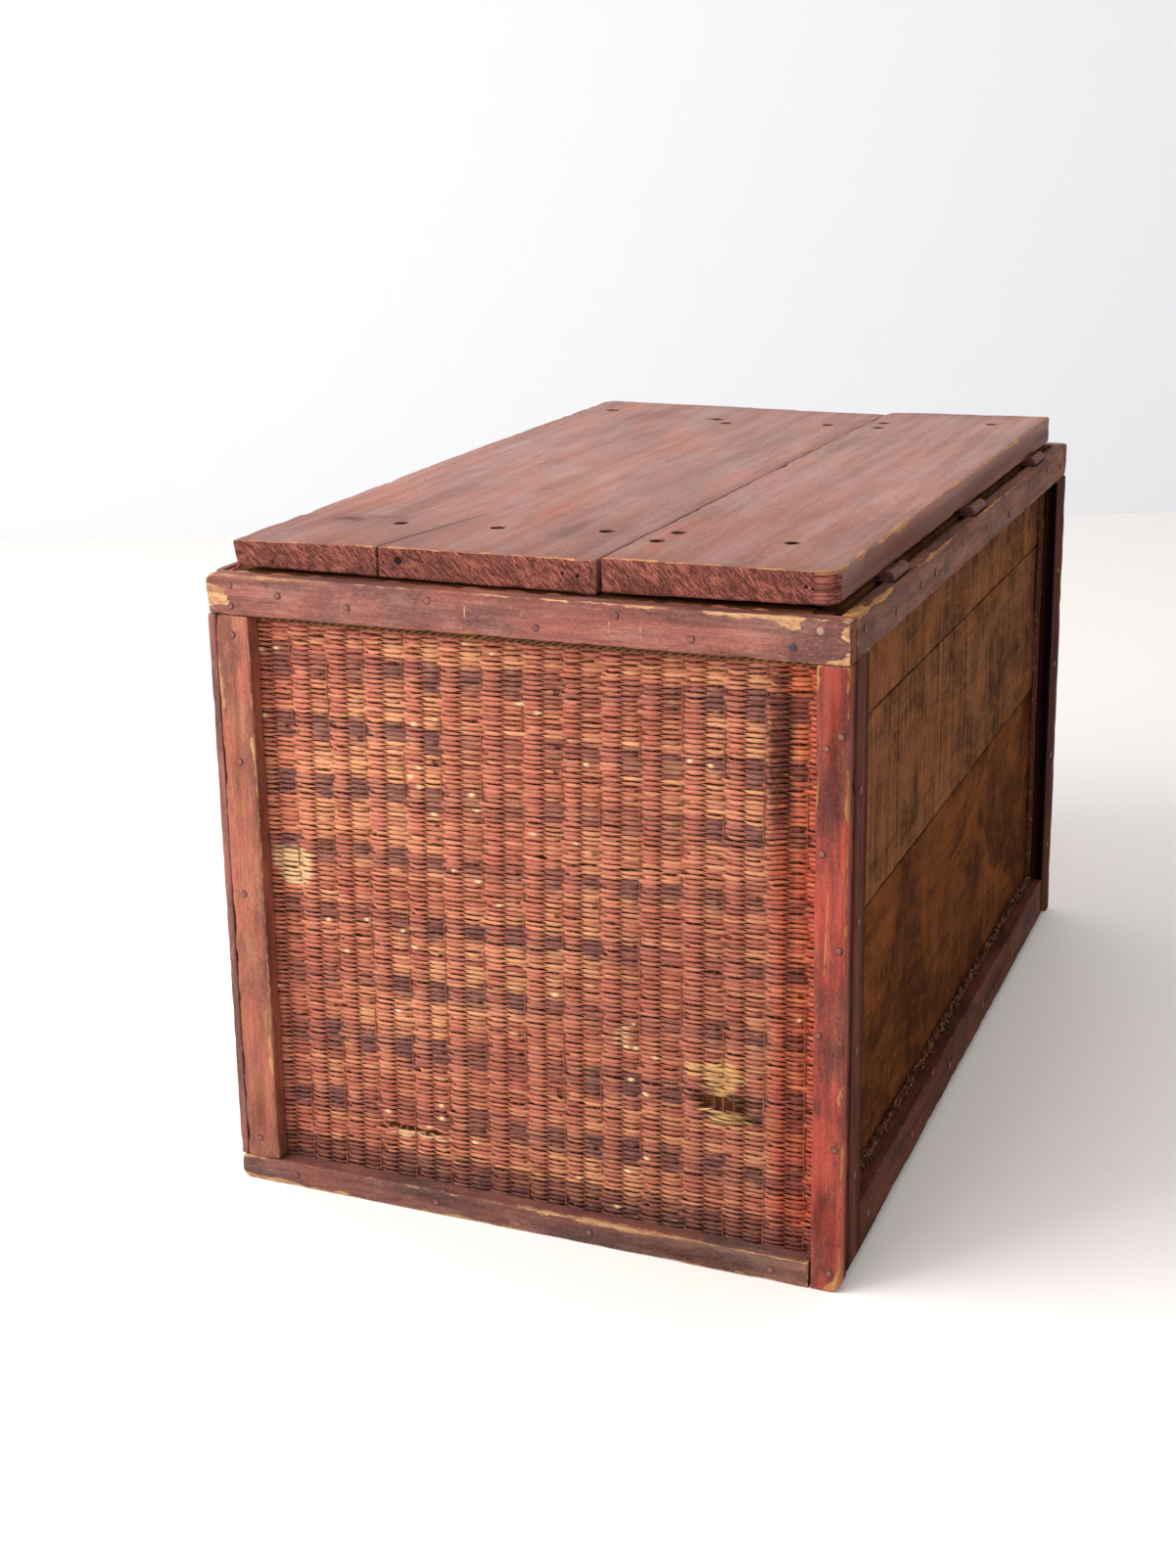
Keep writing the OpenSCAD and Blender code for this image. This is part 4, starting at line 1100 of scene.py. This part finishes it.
# %% Iron finishes
def iron(name, dark, light, rough):
    g = Graph(name)
    rust = g.noise(g.place(), 260.0, 5.0, 0.65)
    colour = g.mix(g.between(rust, 0.35, 0.65), dark, light)
    g.shader.inputs["Metallic"].default_value = 0.2
    return g.finish(colour, rough, rust, 0.0003, 0.6, 0.4)


NAIL = iron("Painted nail", tint(58, 34, 28), tint(128, 74, 60), 0.6)
HINGE_IRON = iron("Painted hinge", tint(70, 40, 36), tint(112, 62, 52), 0.65)
DARK_NAIL = iron("Sunken nail", tint(14, 8, 8), tint(34, 20, 18), 0.7)
for name, node in NODES.items():
    finish = None
    if name.endswith("nails"):
        finish = NAIL
    if name.startswith("hinge_") and name.split("_")[1] in "123" or name.endswith("screws"):
        finish = HINGE_IRON
    if finish is not None:
        node.data.materials.clear()
        node.data.materials.append(finish)

# %% Nail heads
def nail_piece(name, node, centres, out, profile, material, seed=1):
    """Nails at centres (n,3), heads towards the unit direction out. profile is (radius, height) down from the tip of
    the head. A point attribute tells the shader how near the rim it is."""
    out = np.array(out, float)
    a = np.cross(out, [0.3, 0.5, 0.81])
    a /= np.linalg.norm(a)
    b = np.cross(out, a)
    sides = 12
    turn = np.linspace(0, 2 * np.pi, sides + 1)[:-1]
    r = np.random.default_rng(seed)
    radius_at, height_at = (np.array(v)[None, :, None, None] for v in zip(*profile))
    wobble = 1 + 0.07 * r.normal(size=(len(centres), 1, sides, 1)) * (radius_at > 1)
    ring = np.cos(turn)[:, None] * a + np.sin(turn)[:, None] * b
    lean = r.normal(0, 0.05, (len(centres), 1, 1, 1))
    points = (np.asarray(centres, float)[:, None, None, :] + radius_at * wobble * ring
              + (height_at + lean * radius_at * np.cos(turn)[:, None]) * out)
    quads = tube_quads(len(centres), len(profile), sides)[:, ::-1]
    rim = np.broadcast_to(radius_at / max(v[0] for v in profile), points.shape[:3] + (1,))
    stand_in(mesh_piece(name, points.reshape(-1, 3), quads, [material], rim=rim.reshape(-1)), node, "nail_iron")


SUNKEN = [(0.02, 0.5), (1.2, 0.4), (1.9, 0.0), (1.9, -0.8), (0.9, -1.2), (0.9, -22.0), (0.02, -22.0)]
FLAT = [(0.02, 0.55), (1.2, 0.52), (1.9, 0.44), (2.4, 0.12), (2.5, -0.3), (0.9, -0.6), (0.9, -24.0), (0.02, -24.0)]
END_NAILS = [(18, 423), (18, 409), (53, 418), (103, 414), (160, 423), (233, 411), (285, 423), (333, 412), (395, 412),
             (412, 423), (18, 390), (18, 304), (15, 211), (16, 32), (416, 353), (425, 361), (414, 288), (425, 228),
             (413, 172), (424, 98), (422, 13), (43, 9), (150, 9), (261, 9), (384, 8)]


def head_finish():
    """Paint left in the middle of a nail head, and a dark rim."""
    g = Graph("Painted nail head")
    rust = g.noise(g.place(), 700.0, 4.0, 0.65)
    colour = g.mix(g.between(rust, 0.35, 0.65), tint(96, 54, 46), tint(140, 80, 66))
    colour = g.coats(colour, (g.attribute("rim"), 0.62, 0.92, 1.0, tint(34, 20, 18)))
    colour = g.mix(g.spot(0.197, -0.350, 0.423, 0.003, 0.0035), colour, tint(150, 120, 96))
    colour = g.mix(g.spot(0.180, -0.350, 0.412, 0.003, 0.0035), colour, tint(46, 44, 50))
    return g.finish(colour, 0.6, rust, 0.0003, 0.6, 0.4)


HEAD = head_finish()
for end, side in (("front", -1), ("rear", 1)):
    centres = np.array([(side * (215 - a), side * 350.0, z) for a, z in END_NAILS])
    nail_piece(end + "_nail_heads", end + "_lath_nails", centres, (0, side, 0), FLAT, HEAD, 3 + side)
lid_spots = np.array([(x, y, 449.6) for x, y in NAIL_XY])
nail_piece("lid_nails_sunken", "lid_nails", lid_spots, (0, 0, 1), SUNKEN, DARK_NAIL)

print("iron done")

# %% [markdown]
# ## The room
#
# A plain white floor runs back to a white wall. They only receive light, so they are staged and don't belong
# to the crate. The light is a bright, nearly even world with two large windows as area lights, which keep the
# shadow under the lid and beside the crate soft.


# %% Room
def plain(name, colour, rough, marks):
    """Flat paint with small scuffs; marks is how strong they are."""
    g = Graph(name)
    scuff = g.noise(g.place(), 34.0, 6.0, 0.7, 2.0)
    shade = g.mix(g.between(scuff, 0.64, 0.72, 0.0, marks), colour, dim(colour, 0.6))
    return g.finish(shade, rough, None, specular=0.3)


def slab(name, a, b, material):
    p, quads, _ = block_shell(*[np.linspace(a[i], b[i], 2) for i in range(3)])
    obj = mesh_piece(name, p / MM, quads, [material], False)
    return obj


FLOOR = plain("Floor paint", (0.86, 0.815, 0.785), 0.6, 0.3)
WALL = plain("Wall paint", (0.70, 0.72, 0.75), 0.7, 0.05)
slab("Floor", (-6, -6, -0.05), (6, 6, 0.0), FLOOR)
wall = slab("Wall", (-6, 0.0, 0.0), (6, 0.05, 4.0), WALL)
wall.location = (-0.008, 2.34, 0.0)
wall.rotation_euler[2] = math.radians(24.4)

# %% Daylight
world = bpy.data.worlds.new("World")
bpy.context.scene.world = world
world.use_nodes = True
tree = world.node_tree
compass = tree.nodes.new("ShaderNodeTexCoord")
split = tree.nodes.new("ShaderNodeSeparateXYZ")
light_fade = tree.nodes.new("ShaderNodeMapRange")
tree.links.new(compass.outputs["Generated"], split.inputs[0])
tree.links.new(split.outputs["X"], light_fade.inputs["Value"])
for socket, value in (("From Min", -1.0), ("From Max", 1.0), ("To Min", 1.05), ("To Max", 0.87)):
    light_fade.inputs[socket].default_value = value
background = tree.nodes["Background"]
background.inputs[0].default_value = (1.0, 0.99, 0.98, 1.0)
tree.links.new(light_fade.outputs[0], background.inputs[1])


def window(name, at, towards, size, power):
    """A square area light at a place, facing another place."""
    data = bpy.data.lights.new(name, "AREA")
    data.size = size
    data.energy = power
    light = bpy.data.objects.new(name, data)
    bpy.context.scene.collection.objects.link(light)
    light.location = at
    d = Vector(towards) - Vector(at)
    light.rotation_mode = "QUATERNION"
    light.rotation_quaternion = d.to_track_quat("-Z", "Y")


window("Left window", (-1.7, -1.5, 1.9), (0, 0, 0.25), 1.7, 70)
window("Front window", (-0.9, -2.6, 1.5), (0, 0, 0.3), 1.6, 24)
scene = bpy.context.scene
scene.view_settings.view_transform = "Standard"
scene.view_settings.look = "None"
scene.view_settings.exposure = 0.0
